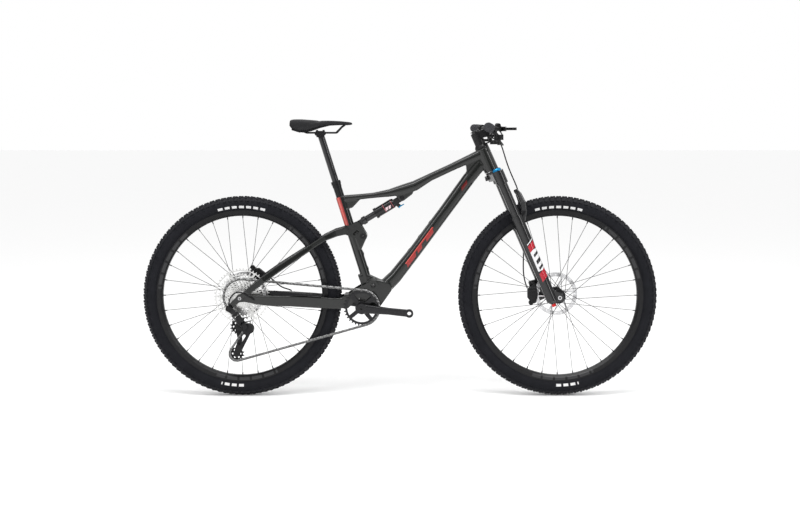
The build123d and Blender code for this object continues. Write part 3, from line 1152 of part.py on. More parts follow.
def link_vectors():
    """Unit vectors of the derailleur's linkage: along, swing and pivot axis."""
    heading, slant = radians(LINK_HEADING), radians(LINK_SLANT)
    along = Vector(cos(heading), 0, sin(heading))
    swing = Vector(sin(heading) * sin(slant), cos(slant), -cos(heading) * sin(slant))
    return along, swing, along.cross(swing)


def linkage(sketch, low, high):
    """A sketch of the linkage plane, thickened along the pivots' axis."""
    along, _, axis = link_vectors()
    plane = Plane(origin=LINK_BASE, x_dir=tuple(along), z_dir=tuple(axis))
    return extrude(plane.offset(low) * sketch, high - low, dir=tuple(axis))


def round_hull(circles):
    edges = []
    for u, v, radius in circles:
        edges += (Pos(u, v) * Circle(radius)).edges()
    return make_hull(edges)


LINK_END = (LINK_LENGTH * cos(radians(LINK_REST)), LINK_LENGTH * sin(radians(LINK_REST)))


def make_derailleur_mount():
    """Upper knuckle on the hanger bolt, with the bores of both links."""
    block = linkage(round_hull([(0, -LINK_SPREAD, 5.5), (0, LINK_SPREAD, 5.5), (-14, 0, 7)]), -LINK_BLOCK, LINK_BLOCK)
    body = hull_plate([(*HANGER_BOLT, 10.5), (-611, 321, 7)], -97, -DROPOUT_OUTER - 0.3)
    mount = block + body
    for v in (-LINK_SPREAD, LINK_SPREAD):
        mount -= linkage(Pos(0, v) * Circle(PIN_RADIUS + RUN_FIT), -20, 20)
    mount -= disc(*HANGER_BOLT, -98, -70, 4.05)
    bolt = disc(*HANGER_BOLT, -97.05, -DROPOUT_INNER - 0.2, 4.0) + disc(*HANGER_BOLT, -100.5, -97.05, 8.0)
    return [mount, bolt]


def make_derailleur_link(side):
    """One link of the linkage: side is -1 for the outer and 1 for the inner."""
    v = side * LINK_SPREAD
    arm = round_hull([(0, v, 5), (LINK_END[0], LINK_END[1] + v, 5)])
    link = linkage(arm, LINK_BLOCK + 0.3, LINK_OUTER) + linkage(arm, -LINK_OUTER, -LINK_BLOCK - 0.3)
    share = [0.27, 0.73]
    out = 1.5 * side
    spots = [(LINK_END[0] * s, LINK_END[1] * s + v + out, 2.4) for s in share]
    link += linkage(round_hull(spots), -LINK_OUTER, LINK_OUTER)
    for u, w in ((0, v), (LINK_END[0], LINK_END[1] + v)):
        link += linkage(Pos(u, w) * Circle(PIN_RADIUS), -LINK_OUTER - 0.6, LINK_OUTER + 0.6)
    return link


def make_derailleur_knuckle():
    """Lower knuckle with the clutch housing the cage turns in."""
    u, v = LINK_END
    block = linkage(round_hull([(u, v - LINK_SPREAD, 5.5), (u, v + LINK_SPREAD, 5.5), (u + 14, v, 7)]),
                    -LINK_BLOCK, LINK_BLOCK)
    clutch = disc(*CAGE_PIVOT, CHAIN_REAR_Y - 27, CHAIN_REAR_Y - 7.6, 18)
    clutch += disc(*CAGE_PIVOT, CHAIN_REAR_Y - 14, CHAIN_REAR_Y - 7.6, 19.5)
    knuckle = block + clutch
    for w in (v - LINK_SPREAD, v + LINK_SPREAD):
        knuckle -= linkage(Pos(u, w) * Circle(PIN_RADIUS + RUN_FIT), -20, 20)
    return knuckle - disc(*CAGE_PIVOT, CHAIN_REAR_Y - 22, CHAIN_REAR_Y, 5.05)


def make_derailleur_cage(guide, tension):
    """Outer plate with its spindle, inner plate and the two pulley bolts."""
    outer_low, outer_high = CHAIN_REAR_Y - 7.2, CHAIN_REAR_Y - 5.2
    outer = hull_plate([(*CAGE_PIVOT, 15), (*guide, 12)], outer_low, outer_high)
    outer += hull_plate([(*CAGE_PIVOT, 13), (*tension, 12)], outer_low, outer_high)
    hub = between(guide, tension, 0.5)
    outer -= hull_plate([(CAGE_PIVOT[0] - 18, CAGE_PIVOT[1] - 28, 5), (hub[0] + 8, hub[1] - 12, 5)],
                        outer_low - 1, outer_high + 1)
    inner = hull_plate([(*guide, 12), (hub[0] + 10, hub[1], 8)], CHAIN_REAR_Y + 4.2, CHAIN_REAR_Y + 5.8)
    inner += hull_plate([(hub[0] + 10, hub[1], 8), (*tension, 12)], CHAIN_REAR_Y + 4.2, CHAIN_REAR_Y + 5.8)
    cage = outer + inner + disc(*CAGE_PIVOT, CHAIN_REAR_Y - 21.5, outer_high, 5.0)
    for spot in (guide, tension):
        cage += disc(*spot, CHAIN_REAR_Y - 8.4, CHAIN_REAR_Y + 7, 2.5)
        cage += disc(*spot, outer_low - 1.3, outer_low + 0.1, 5)
    return cage


def make_pulley(centre, phase):
    teeth = tooth_outline(PULLEY_TEETH, phase) - Circle(2.55)
    for index in range(6):
        teeth -= Rot(0, 0, index * 60) * Pos(14.5, 0) * Circle(3.6)
    pulley = slab(Pos(*centre) * teeth, CHAIN_REAR_Y - 0.9, CHAIN_REAR_Y + 0.9)
    return pulley + ring(*centre, CHAIN_REAR_Y - 4.9, CHAIN_REAR_Y + 3.9, 7.5, 2.55)


# ---------------------------------------------------------------- axle, hoses and housings
def make_rear_axle():
    axle = ring(*REAR_AXLE, -88, 88, REAR_AXLE_RADIUS, 3.5) + ring(*REAR_AXLE, 86.6, 92, 10, 3.5)
    left_cap = ring(*REAR_AXLE, 67.2, DROPOUT_INNER - 0.1, 11, REAR_AXLE_RADIUS + SEAT_FIT)
    right_cap = ring(*REAR_AXLE, -DROPOUT_INNER + 0.1, -71.5, 11, REAR_AXLE_RADIUS + SEAT_FIT)
    return [axle, left_cap, right_cap]


def make_cockpit_hoses():
    """Rear brake hose, shifter housing and dropper housing, from the bar to the headset cover."""
    def entry(y, forward):
        return steer_point(57, forward, y)

    brake = [(348.9, -165.4, 987), (350, -146, 986), (374, -100, 966), (376, -48, 948), entry(-9, 55), entry(-9, 22.9)]
    shifter = [(346, -157.3, 955.5), (347, -140, 955), (374, -100, 930), (382, -44, 921), entry(0, 58), entry(0, 24.2)]
    dropper = [(346, 162.6, 955.5), (347, 146, 955), (372, 104, 944), (378, 46, 934), entry(9, 56), entry(9, 22.9)]
    return [hose(brake, HOSE_RADIUS), hose(shifter, HOSE_RADIUS), hose(dropper, HOSE_RADIUS)]


def make_front_hose():
    route = [(348.9, 165.4, 987), (350, 148, 986), (386, 142, 940), (400, 130, 882), (420, 112, 819),
             (446, 98, 765), (461, 92, 700), (470, 90, 527), (465, 84, 466), (466, 58, 418), (477.0, 39.5, 388.8)]
    return hose(route, HOSE_RADIUS)


def make_rear_hose():
    route = [(-503.0, 57, 433.6), (-482, 57, 424), (-447, 57, 384), (-424, 57, 386), (-407.6, 56.2, 377.5)]
    return hose(route, HOSE_RADIUS)


def make_derailleur_housing():
    route = [(-530.6, -82.2, 362.9), (-553, -91, 378), (-578, -91.5, 397), (-608, -91.5, 389),
             (-622, -91, 364), (-622, -90, 343.3)]
    return hose(route, HOSE_RADIUS)


# ---------------------------------------------------------------- writing the parts
os.makedirs("parts", exist_ok=True)
cage_swing, pin_count = solve_cage_swing()
chain_points, (ring_phase, tension_phase, guide_phase, cog_phase) = chain_pins(cage_swing, pin_count)
GUIDE_PULLEY = cage_place(GUIDE_OFFSET, cage_swing)
TENSION_PULLEY = cage_place(TENSION_OFFSET, cage_swing)
print("chain of %d pitches, cage swung %.4f rad, guide pulley %.2f %.2f, tension pulley %.2f %.2f"
      % ((pin_count, cage_swing) + GUIDE_PULLEY + TENSION_PULLEY))

save("front_frame", make_front_frame())
save("frame_bearings", *make_frame_bearings())
save("frame_fasteners", *make_frame_fasteners())
save("dropper_outer", make_dropper_outer())
save("dropper_inner", *make_dropper_inner())
save("saddle_pad", make_saddle_pad())
save("saddle_shell", *make_saddle_shell())

save("fork_upper", make_fork_upper())
save("stem", *make_stem())
save("handlebar", make_handlebar())
save("grips", *make_grips())
save("controls", make_master(), mirror(make_master(), Plane.XZ), mirror(make_shifter_body(), Plane.XZ),
     make_remote_body())
save("cockpit_hoses", *make_cockpit_hoses())
save("front_blade", make_blade())
save("rear_blade", mirror(make_blade(), Plane.XZ))
save("shift_paddle", mirror(make_paddle(939, 945.7, (318, 226)), Plane.XZ))
save("release_paddle", mirror(make_paddle(930.7, 938.7, (324, 217)), Plane.XZ))
save("dropper_paddle", make_paddle(937.7, 947.7, (318, 226)))
save("compression_knob", make_compression_knob())

save("fork_lowers", *make_fork_lowers())
save("front_axle", *make_front_axle())
save("front_caliper", *make_caliper(FRONT_AXLE, FRONT_ROTOR_Y, FRONT_CALIPER_ANGLE, CALIPER_EAR_FRONT))
save("front_pad_left", make_pad(FRONT_AXLE, FRONT_ROTOR_Y, FRONT_CALIPER_ANGLE, 1))
save("front_pad_right", make_pad(FRONT_AXLE, FRONT_ROTOR_Y, FRONT_CALIPER_ANGLE, -1))
save("front_hose", make_front_hose())
save("rebound_knob", make_rebound_knob())

save("front_tyre", make_tyre(FRONT_AXLE))
save("front_rim", make_rim(FRONT_AXLE))
save("front_spokes", *make_spokes(FRONT_AXLE, 22, 26, -37, 1.3))
save("front_hub", *make_hub(FRONT_AXLE, 22, 26, -37, 1.3, (48.1, -48.1), FRONT_AXLE_RADIUS + RUN_FIT, 15.5))
save("front_rotor", *make_rotor(FRONT_AXLE, FRONT_ROTOR_Y, 17.5))
save("rear_tyre", make_tyre(REAR_AXLE))
save("rear_rim", make_rim(REAR_AXLE))
save("rear_spokes", *make_spokes(REAR_AXLE, 27, 37, -21.5, 1.3))
save("rear_hub", *make_hub(REAR_AXLE, 27, 37, -21.5, 1.3, (67.0, -28.4), REAR_AXLE_RADIUS + RUN_FIT, 17))
save("rear_rotor", *make_rotor(REAR_AXLE, REAR_ROTOR_Y, 19))
save("cassette", *make_cassette(cog_phase))

save("chainstay", make_chainstay())
save("chainstay_guard", make_chainstay_guard())
save("rear_axle", *make_rear_axle())
save("seatstay", make_seatstay())
save("rear_caliper", *make_caliper(REAR_AXLE, REAR_ROTOR_Y, REAR_CALIPER_ANGLE, CALIPER_EAR_REAR))
save("rear_pad_left", make_pad(REAR_AXLE, REAR_ROTOR_Y, REAR_CALIPER_ANGLE, 1))
save("rear_pad_right", make_pad(REAR_AXLE, REAR_ROTOR_Y, REAR_CALIPER_ANGLE, -1))
save("rear_hose", make_rear_hose())
save("rocker", make_rocker())
save("shock_body", make_shock_body())
save("shock_shaft", make_shock_shaft())
save("shock_lever", make_shock_lever())

save("crankset", *make_crankset())
save("chainring", make_chainring(ring_phase))
save("chain", *make_chain(chain_points))
save("derailleur_mount", *make_derailleur_mount())
save("derailleur_outer_link", make_derailleur_link(-1))
save("derailleur_inner_link", make_derailleur_link(1))
save("derailleur_knuckle", make_derailleur_knuckle())
save("derailleur_cage", make_derailleur_cage(GUIDE_PULLEY, TENSION_PULLEY))
save("guide_pulley", make_pulley(GUIDE_PULLEY, guide_phase))
save("tension_pulley", make_pulley(TENSION_PULLEY, tension_phase))
save("derailleur_housing", make_derailleur_housing())
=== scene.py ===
import math

import bmesh
import bpy
from mathutils import Matrix, Vector


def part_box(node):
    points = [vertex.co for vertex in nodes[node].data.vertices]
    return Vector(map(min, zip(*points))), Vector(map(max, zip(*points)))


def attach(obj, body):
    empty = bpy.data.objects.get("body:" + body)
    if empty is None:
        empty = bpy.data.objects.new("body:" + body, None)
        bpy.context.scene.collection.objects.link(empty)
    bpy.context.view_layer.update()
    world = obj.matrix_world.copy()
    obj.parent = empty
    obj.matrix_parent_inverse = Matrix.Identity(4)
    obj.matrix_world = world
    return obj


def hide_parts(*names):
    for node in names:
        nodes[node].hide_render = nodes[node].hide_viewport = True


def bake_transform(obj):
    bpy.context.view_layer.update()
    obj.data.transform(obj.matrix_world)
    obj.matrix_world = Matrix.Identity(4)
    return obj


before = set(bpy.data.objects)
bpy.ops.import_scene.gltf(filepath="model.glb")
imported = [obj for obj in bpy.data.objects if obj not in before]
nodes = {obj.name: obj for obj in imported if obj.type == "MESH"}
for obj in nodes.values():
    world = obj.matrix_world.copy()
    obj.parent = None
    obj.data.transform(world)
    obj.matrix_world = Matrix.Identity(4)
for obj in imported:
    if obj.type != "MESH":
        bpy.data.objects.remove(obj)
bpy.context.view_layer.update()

AXLE_HEIGHT = 0.3685
FRONT_AXLE_X = 0.5839
REAR_AXLE_X = -0.5839
HEAD_ANGLE = math.radians(67.0)
SEAT_ANGLE = math.radians(72.33)
DOWN_TUBE_ANGLE = math.radians(53.5)
SEAT_RED_HEIGHTS = (0.629, 0.7365)
SEAT_AXIS_POINT = (-0.2648, 0.8699)
DOWN_TUBE_MARK = (0.056, 0.532)
STEER_AXIS_POINT = (0.3223, 0.8718)
FORK_LINE_OFFSET = 0.662
SHOCK_REAR_EYE = (-0.1558, 0.6326)
SHOCK_ANGLE = math.atan2(0.098, 0.163)
DARK_SPECULAR = 0.12


# ---------------------------------------------------------------- finishes


class Value:
    """One number or colour that varies from place to place."""

    def __init__(self, maker, socket):
        self.maker = maker
        self.socket = socket

    def __add__(self, other):
        return self.maker.maths("ADD", self, other)

    def __sub__(self, other):
        return self.maker.maths("SUBTRACT", self, other)

    def __rsub__(self, other):
        return self.maker.maths("SUBTRACT", other, self)

    def __mul__(self, other):
        return self.maker.maths("MULTIPLY", self, other)

    __radd__ = __add__
    __rmul__ = __mul__


class NodeMaker:
    """Adds nodes to one node tree."""

    def __init__(self, tree):
        self.tree = tree

    def node(self, kind, settings, sockets, output=0):
        made = self.tree.nodes.new("ShaderNode" + kind)
        for key, value in settings.items():
            setattr(made, key, value)
        for key, value in sockets.items():
            if isinstance(value, Value):
                self.tree.links.new(value.socket, made.inputs[key])
            elif isinstance(value, tuple) and len(value) == 3 and made.inputs[key].type == "RGBA":
                made.inputs[key].default_value = (*value, 1)
            else:
                made.inputs[key].default_value = value
        return None if output is None else Value(self, made.outputs[output])

    def maths(self, operation, *items):
        return self.node("Math", {"operation": operation}, dict(enumerate(items)))


class Finish(NodeMaker):
    """One surface finish of the bicycle."""

    def __init__(self, name):
        self.material = bpy.data.materials.new(name)
        self.material.use_nodes = True
        super().__init__(self.material.node_tree)
        self.tree.nodes.clear()
        self.place = self.node("TexCoord", {}, {}, "Object")
        self.x = self.node("SeparateXYZ", {}, {"Vector": self.place}, "X")
        self.y = self.node("SeparateXYZ", {}, {"Vector": self.place}, "Y")
        self.z = self.node("SeparateXYZ", {}, {"Vector": self.place}, "Z")

    def grain(self, scale, detail=4, roughness=0.6):
        return self.node(
            "TexNoise", {}, {"Vector": self.place, "Scale": scale, "Detail": detail, "Roughness": roughness}
        )

    def waves(self, direction, scale, distortion):
        return self.node(
            "TexWave", {"bands_direction": direction},
            {"Vector": self.place, "Scale": scale, "Distortion": distortion},
        )

    def edge(self, value, at, soft):
        return self.node(
            "MapRange", {"interpolation_type": "SMOOTHSTEP"},
            {"Value": value, "From Min": at - soft, "From Max": at + soft},
        )

    def step(self, value, low, high, soft=0.0006):
        """1 where value lies between low and high, with soft edges."""
        return self.edge(value, low, soft) * (1 - self.edge(value, high, soft))

    def blend(self, factor, first, second):
        return self.node(
            "Mix", {"data_type": "RGBA"}, {0: factor, 6: first, 7: second}, 2
        )

    def spread(self, value, low, high):
        """Maps 0 to 1 onto low to high."""
        return value * (high - low) + low

    def bump(self, height, distance, strength=1.0):
        return self.node(
            "Bump", {}, {"Height": height, "Distance": distance, "Strength": strength}
        )

    def surface(self, **sockets):
        shader = self.node(
            "BsdfPrincipled", {}, {key.replace("_", " "): value for key, value in sockets.items()}
        )
        self.node("OutputMaterial", {}, {"Surface": shader}, None)
        return self.material


def carbon_base(f):
    """Clear-coated charcoal carbon with a faint weave under the lacquer."""
    weave = f.waves("X", 420.0, 1.5) * f.waves("Z", 420.0, 1.5)
    cloud = f.grain(34.0)
    return f.blend(f.spread(weave, 0.2, 0.9) * cloud, (0.0022, 0.0027, 0.0024), (0.015, 0.0175, 0.0155))


def carbon_surface(f, colour):
    return f.surface(
        Base_Color=colour, Roughness=f.spread(f.grain(90.0), 0.3, 0.4), Specular_IOR_Level=DARK_SPECULAR,
        Coat_Weight=0.9, Coat_Roughness=0.06, Normal=f.bump(f.grain(700.0, 2), 0.00004),
    )


def tube_lines(f, start, lean):
    """Distances along and across a tube that leans up and forward from start."""
    x, z = start
    along = (f.x - x) * math.cos(lean) + (f.z - z) * math.sin(lean)
    across = (f.z - z) * math.cos(lean) - (f.x - x) * math.sin(lean)
    return along, across


def frame_carbon():
    """Carbon with a red band on the seat tube and red blocks on the down tube, and painted highlight lines on
    the red.
    """
    f = Finish("frame_carbon")
    seat_x, seat_z = SEAT_AXIS_POINT
    seat_line = (f.x - seat_x) * math.sin(SEAT_ANGLE) + (f.z - seat_z) * math.cos(SEAT_ANGLE)
    seat_run = f.step(f.z, *SEAT_RED_HEIGHTS)
    seat_red = f.step(seat_line, -0.03, -0.001) * seat_run
    # A paler line down the middle of the seat-tube red is a painted highlight.
    seat_painted_highlight = f.step(seat_line, -0.0135, -0.0065, 0.003) * seat_run
    along, across = tube_lines(f, DOWN_TUBE_MARK, DOWN_TUBE_ANGLE)
    slant = along - across * 0.9
    long_panel = f.step(along, -0.056, 0.112) * f.step(across, -0.0015, 0.0045)
    blocks = f.step(slant, -0.052, 0.0) + f.step(slant, 0.012, 0.038) + f.step(slant, 0.066, 0.108)
    low_blocks = blocks * f.step(across, -0.012, 0.0)
    small = f.step(slant, 0.288, 0.322) * f.step(across, -0.006, 0.005)
    # A paler line along the upper edge of the down-tube panel is a painted highlight.
    down_tube_painted_highlight = f.step(along, -0.056, 0.112) * f.step(across, 0.0022, 0.0042)
    red = f.maths("MINIMUM", seat_red + long_panel + low_blocks + small * 0.35, 1.0)
    paint = f.blend(f.grain(60.0), (0.24, 0.007, 0.007), (0.33, 0.013, 0.012))
    # Both painted highlights blend a pale red into the paint.
    paint = f.blend(f.maths("MINIMUM", seat_painted_highlight * 0.7 + down_tube_painted_highlight * 0.8, 1.0), paint, (0.72, 0.15, 0.12))
    return carbon_surface(f, f.blend(red, carbon_base(f), paint))


def stay_carbon():
    """The same carbon without the red, for the rear triangle."""
    f = Finish("stay_carbon")
    return carbon_surface(f, carbon_base(f))


def fork_black():
    """Gloss black with plain red and white bars on the lower legs."""
    f = Finish("fork_black")
    up = f.z * math.sin(HEAD_ANGLE) - f.x * math.cos(HEAD_ANGLE)
    ahead = f.x * math.sin(HEAD_ANGLE) + f.z * math.cos(HEAD_ANGLE) - FORK_LINE_OFFSET
    side = f.step(f.maths("ABSOLUTE", f.y), 0.069, 0.12) * f.step(ahead, -0.0165, 0.03)
    slant = up - ahead * 0.55
    red = side * (f.step(slant, 0.316, 0.340) + f.step(slant, 0.200, 0.232))
    edge = side * f.step(slant, 0.344, 0.3475)
    panel = side * f.step(up, 0.232, 0.314) * (1 - f.maths("MINIMUM", red, 1.0))
    cuts = f.step(slant, 0.240, 0.250) + f.step(slant, 0.262, 0.276) + f.step(slant, 0.290, 0.300)
    bars = f.maths("MINIMUM", cuts, 1.0) * f.step(ahead, -0.009, 0.010)
    patch = f.step(f.x, 0.357, 0.371) * f.step(f.z, 0.836, 0.851) * f.step(f.y, -0.12, -0.079)
    base = f.blend(f.grain(55.0), (0.004, 0.004, 0.0045), (0.012, 0.012, 0.013))
    white = f.maths("MINIMUM", panel * (1 - bars) + edge + patch, 1.0)
    base = f.blend(white, base, (0.72, 0.72, 0.73))
    base = f.blend(f.maths("MINIMUM", red, 1.0), base, (0.40, 0.011, 0.024))
    return f.surface(
        Base_Color=base, Roughness=f.spread(f.grain(120.0), 0.22, 0.34), Specular_IOR_Level=DARK_SPECULAR,
        Coat_Weight=0.8, Coat_Roughness=0.06, Normal=f.bump(f.grain(900.0, 2), 0.00004),
    )


def machined(name, dark, light, rough_low, rough_high, metallic, coat=0.0, grain=160.0, depth=0.00005):
    """A metal or lacquered metal with fine machining grain and handling marks."""
    f = Finish(name)
    marks = f.grain(38.0, 6)
    fine = f.grain(grain, 3)
    return f.surface(
        Base_Color=f.blend(marks, dark, light), Metallic=metallic,
        Roughness=f.spread(fine, rough_low, rough_high), Coat_Weight=coat, Coat_Roughness=0.1,
        Specular_IOR_Level=DARK_SPECULAR, Normal=f.bump(f.grain(grain * 4, 2), depth),
    )


def wheel_place(f, along):
    """Radius and angle about an axle, where along runs forward from it."""
    rise = f.z - AXLE_HEIGHT
    return f.maths("SQRT", along * along + rise * rise), f.maths("ARCTAN2", rise, along)


def rim_black(name, axle_x):
    """Black rim with three faint broken bands."""
    f = Finish(name)
    radius, angle = wheel_place(f, f.x - axle_x)
    turn = f.maths("FRACT", angle * (3 / (2 * math.pi)) + 10.2)
    band = f.step(radius, 0.3005, 0.3125)
    cuts = f.step(f.maths("FRACT", turn * 14.0), 0.08, 0.9, 0.03)
    patch = f.step(turn, 0.3, 0.66, 0.004) * band * cuts
    base = f.blend(f.grain(60.0), (0.004, 0.004, 0.005), (0.012, 0.012, 0.013))
    base = f.blend(patch, base, (0.035, 0.035, 0.037))
    return f.surface(
        Base_Color=base, Metallic=0.1, Roughness=f.spread(f.grain(180.0), 0.34, 0.48),
        Specular_IOR_Level=DARK_SPECULAR, Coat_Weight=0.25, Coat_Roughness=0.2,
        Normal=f.bump(f.grain(1100.0, 2), 0.00004),
    )


def tyre_rubber():
    """Dusty rubber with a paler tread and plain pale dashes on the sidewall."""
    f = Finish("tyre_rubber")
    dust = f.grain(26.0, 6)
    cords = f.waves("DIAGONAL", 260.0, 2.0)
    radius, angle = wheel_place(f, f.maths("ABSOLUTE", f.x) - FRONT_AXLE_X)
    tread = f.step(radius, 0.3535, 0.4, 0.003)
    dashes = f.step(f.maths("FRACT", angle * (180 / math.pi / 4.6) + 30.0), 0.16, 0.84, 0.02)
    marks = f.step(radius, 0.3245, 0.3335) * dashes * f.maths(
        "MINIMUM", f.step(angle, 1.289, 1.853, 0.002) + f.step(angle, -1.60, -1.34, 0.002), 1.0)
    colour = f.blend(dust, (0.0055, 0.0057, 0.0075), (0.0135, 0.014, 0.0175))
    colour = f.blend(tread * 0.8, colour, (0.021, 0.021, 0.024))
    colour = f.blend(marks, colour, (0.7, 0.7, 0.7))
    return f.surface(
        Base_Color=colour, Roughness=f.spread(f.grain(200.0), 0.5, 0.72), Specular_IOR_Level=0.1,
        Normal=f.bump(cords * 0.5 + f.grain(600.0, 3), 0.0002),
    )


def moulded(name, dark, light, rough_low=0.42, rough_high=0.62, texture=420.0, depth=0.00015):
    """Moulded rubber or plastic with a fine spark-eroded skin."""
    f = Finish(name)
    skin = f.node("TexVoronoi", {}, {"Vector": f.place, "Scale": texture}, 0)
    return f.surface(
        Base_Color=f.blend(f.grain(45.0), dark, light),
        Roughness=f.spread(f.grain(150.0), rough_low, rough_high),
        Specular_IOR_Level=DARK_SPECULAR, Normal=f.bump(skin, depth),
    )


def saddle_cover():
    """Pored synthetic leather, a little paler in patches towards the top."""
    f = Finish("saddle_cover")
    pores = f.node("TexVoronoi", {}, {"Vector": f.place, "Scale": 650.0}, 0)
    # Paler in noisy patches towards the top of the cover.
    paler_top = f.step(f.z, 1.012, 1.05, 0.012) * f.grain(18.0)
    colour = f.blend(paler_top, (0.004, 0.004, 0.005), (0.016, 0.016, 0.018))
    return f.surface(
        Base_Color=colour, Roughness=f.spread(f.grain(90.0), 0.4, 0.58), Specular_IOR_Level=DARK_SPECULAR,
        Sheen_Weight=0.05, Normal=f.bump(pores, 0.0002),
    )


def shock_black():
    """Polished black can with plain pale patches and fine red rings."""
    f = Finish("shock_black")
    along, across = tube_lines(f, SHOCK_REAR_EYE, SHOCK_ANGLE)
    side = f.step(f.maths("ABSOLUTE", f.y), 0.008, 0.04)
    pale = f.step(along - across * 0.5, 0.119, 0.129) + f.step(along - across * 0.5, 0.132, 0.141)
    patch = pale * f.step(across, -0.011, 0.0) * side
    rim = f.step(along, 0.113, 0.1145) + f.step(along, 0.146, 0.1472)
    base = f.blend(f.grain(70.0), (0.004, 0.004, 0.0045), (0.012, 0.012, 0.013))
    base = f.blend(f.maths("MINIMUM", patch, 1.0), base, (0.72, 0.55, 0.58))
    base = f.blend(f.maths("MINIMUM", rim * side, 1.0), base, (0.45, 0.1, 0.12))
    return f.surface(
        Base_Color=base, Metallic=0.1, Roughness=f.spread(f.grain(140.0), 0.18, 0.3),
        Specular_IOR_Level=DARK_SPECULAR, Coat_Weight=0.5, Coat_Roughness=0.05,
        Normal=f.bump(f.grain(800.0, 2), 0.00004),
    )


BLACK_MOULD = (0.006, 0.006, 0.007)
BLACK_MOULD_PALE = (0.018, 0.018, 0.019)

FINISHES = {
    "frame_carbon": frame_carbon(),
    "stay_carbon": stay_carbon(),
    "fork_black": fork_black(),
    "black_alloy": machined(
        "black_alloy", (0.004, 0.004, 0.0045), (0.016, 0.016, 0.017), 0.3, 0.46, 0.1, 0.2,
    ),
    "crank_black": machined(
        "crank_black", (0.005, 0.005, 0.006), (0.018, 0.018, 0.02), 0.22, 0.34, 0.1, 0.35,
    ),
    "front_rim_black": rim_black("front_rim_black", FRONT_AXLE_X),
    "rear_rim_black": rim_black("rear_rim_black", REAR_AXLE_X),
    "shock_black": shock_black(),
    "shaft_dark": machined("shaft_dark", (0.006, 0.006, 0.007), (0.02, 0.02, 0.022), 0.12, 0.2, 0.3, 0.9),
    "anodised_blue": machined("anodised_blue", (0.004, 0.13, 0.42), (0.01, 0.36, 0.56), 0.22, 0.34, 0.8, 0.3),
    "anodised_red": machined("anodised_red", (0.45, 0.01, 0.012), (0.6, 0.03, 0.03), 0.22, 0.34, 0.8, 0.3),
    "tyre_rubber": tyre_rubber(),
    "grip_rubber": moulded("grip_rubber", (0.024, 0.024, 0.027), (0.055, 0.055, 0.06), 0.55, 0.75),
    "guard_rubber": moulded("guard_rubber", BLACK_MOULD, BLACK_MOULD_PALE, 0.5, 0.7),
    "hose_black": moulded("hose_black", BLACK_MOULD, BLACK_MOULD_PALE, 0.3, 0.42, 900.0, 0.00005),
    "steel": machined("steel", (0.55, 0.55, 0.56), (0.78, 0.78, 0.79), 0.24, 0.38, 1.0, 0.0, 240.0),
    "spoke_black": machined("spoke_black", (0.02, 0.02, 0.021), (0.05, 0.05, 0.052), 0.26, 0.36, 0.6, 0.2),
    "chain_steel": machined("chain_steel", (0.07, 0.07, 0.07), (0.3, 0.3, 0.3), 0.3, 0.45, 1.0, 0.0, 300.0),
    "sprocket_silver": machined(
        "sprocket_silver", (0.55, 0.55, 0.54), (0.86, 0.86, 0.85), 0.22, 0.36, 1.0, 0.0, 300.0,
    ),
    "pulley_plastic": moulded("pulley_plastic", BLACK_MOULD, BLACK_MOULD_PALE),
    "saddle_cover": saddle_cover(),
    "saddle_base": moulded("saddle_base", (0.005, 0.005, 0.006), (0.016, 0.016, 0.017), 0.35, 0.5),
}

NODE_FINISH = {
    "frame_carbon": ("front_frame",),
    "stay_carbon": ("chainstay", "seatstay", "rocker"),
    "fork_black": ("fork_upper", "fork_lowers"),
    "black_alloy": (
        "stem", "handlebar", "controls", "frame_fasteners", "front_caliper", "rear_caliper", "front_hub",
        "rear_hub", "derailleur_mount", "derailleur_outer_link", "derailleur_inner_link",
        "derailleur_knuckle", "derailleur_cage", "front_blade", "rear_blade", "shift_paddle",
        "release_paddle", "dropper_paddle", "dropper_outer",
    ),
    "crank_black": ("crankset", "chainring"),
    "front_rim_black": ("front_rim",),
    "rear_rim_black": ("rear_rim",),
    "shock_black": ("shock_body",),
    "shaft_dark": ("shock_shaft", "dropper_inner"),
    "anodised_blue": ("compression_knob", "shock_lever"),
    "anodised_red": ("rebound_knob",),
    "tyre_rubber": ("front_tyre", "rear_tyre"),
    "grip_rubber": ("grips",),
    "guard_rubber": ("chainstay_guard",),
    "hose_black": ("cockpit_hoses", "front_hose", "rear_hose", "derailleur_housing"),
    "steel": (
        "frame_bearings", "front_axle", "rear_axle", "front_rotor", "rear_rotor", "front_pad_left",
        "front_pad_right", "rear_pad_left", "rear_pad_right",
    ),
    "spoke_black": ("front_spokes", "rear_spokes"),
    "chain_steel": ("chain",),
    "sprocket_silver": ("cassette",),
    "pulley_plastic": ("guide_pulley", "tension_pulley"),
    "saddle_cover": ("saddle_pad",),
    "saddle_base": ("saddle_shell",),
}


def finish_part(part, finish):
    part.data.materials.clear()
    part.data.materials.append(FINISHES[finish])


def finish_cad_parts():
    for finish, names in NODE_FINISH.items():
        for name in names:
            finish_part(nodes[name], finish)


# ---------------------------------------------------------------- shared making


def place(name, data):
    holder = bpy.data.objects.new(name, data)
    bpy.context.scene.collection.objects.link(holder)
    return holder


def dress(piece, finish, body):
    """Gives a piece its finish and the body it rides on."""
    finish_part(piece, finish)
    if body:
        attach(piece, body)
    return piece


def new_piece(name, mesh, finish, body=None):
    return dress(place(name, mesh), finish, body)


def mesh_from(build, name):
    mesh = bpy.data.meshes.new(name)
    bmesh.ops.recalc_face_normals(build, faces=build.faces[:])
    build.to_mesh(mesh)
    build.free()
    return mesh


def smooth_by_angle(mesh, degrees):
    mesh.shade_smooth()
    mesh.set_sharp_from_angle(angle=math.radians(degrees))


def welded_copy(node, name):
    build = bmesh.new()
    build.from_mesh(nodes[node].data)
    bmesh.ops.remove_doubles(build, verts=build.verts[:], dist=0.00002)
    return mesh_from(build, name)


def settle(piece):
    """Writes the piece's modifiers into its mesh."""
    graph = bpy.context.evaluated_depsgraph_get()
    made = bpy.data.meshes.new_from_object(piece.evaluated_get(graph))
    piece.modifiers.clear()
    old = piece.data
    piece.data = made
    bpy.data.meshes.remove(old)
    return piece


def add_remesh(piece, voxel):
    remesh = piece.modifiers.new("skin", "REMESH")
    remesh.mode = "VOXEL"
    remesh.voxel_size = voxel


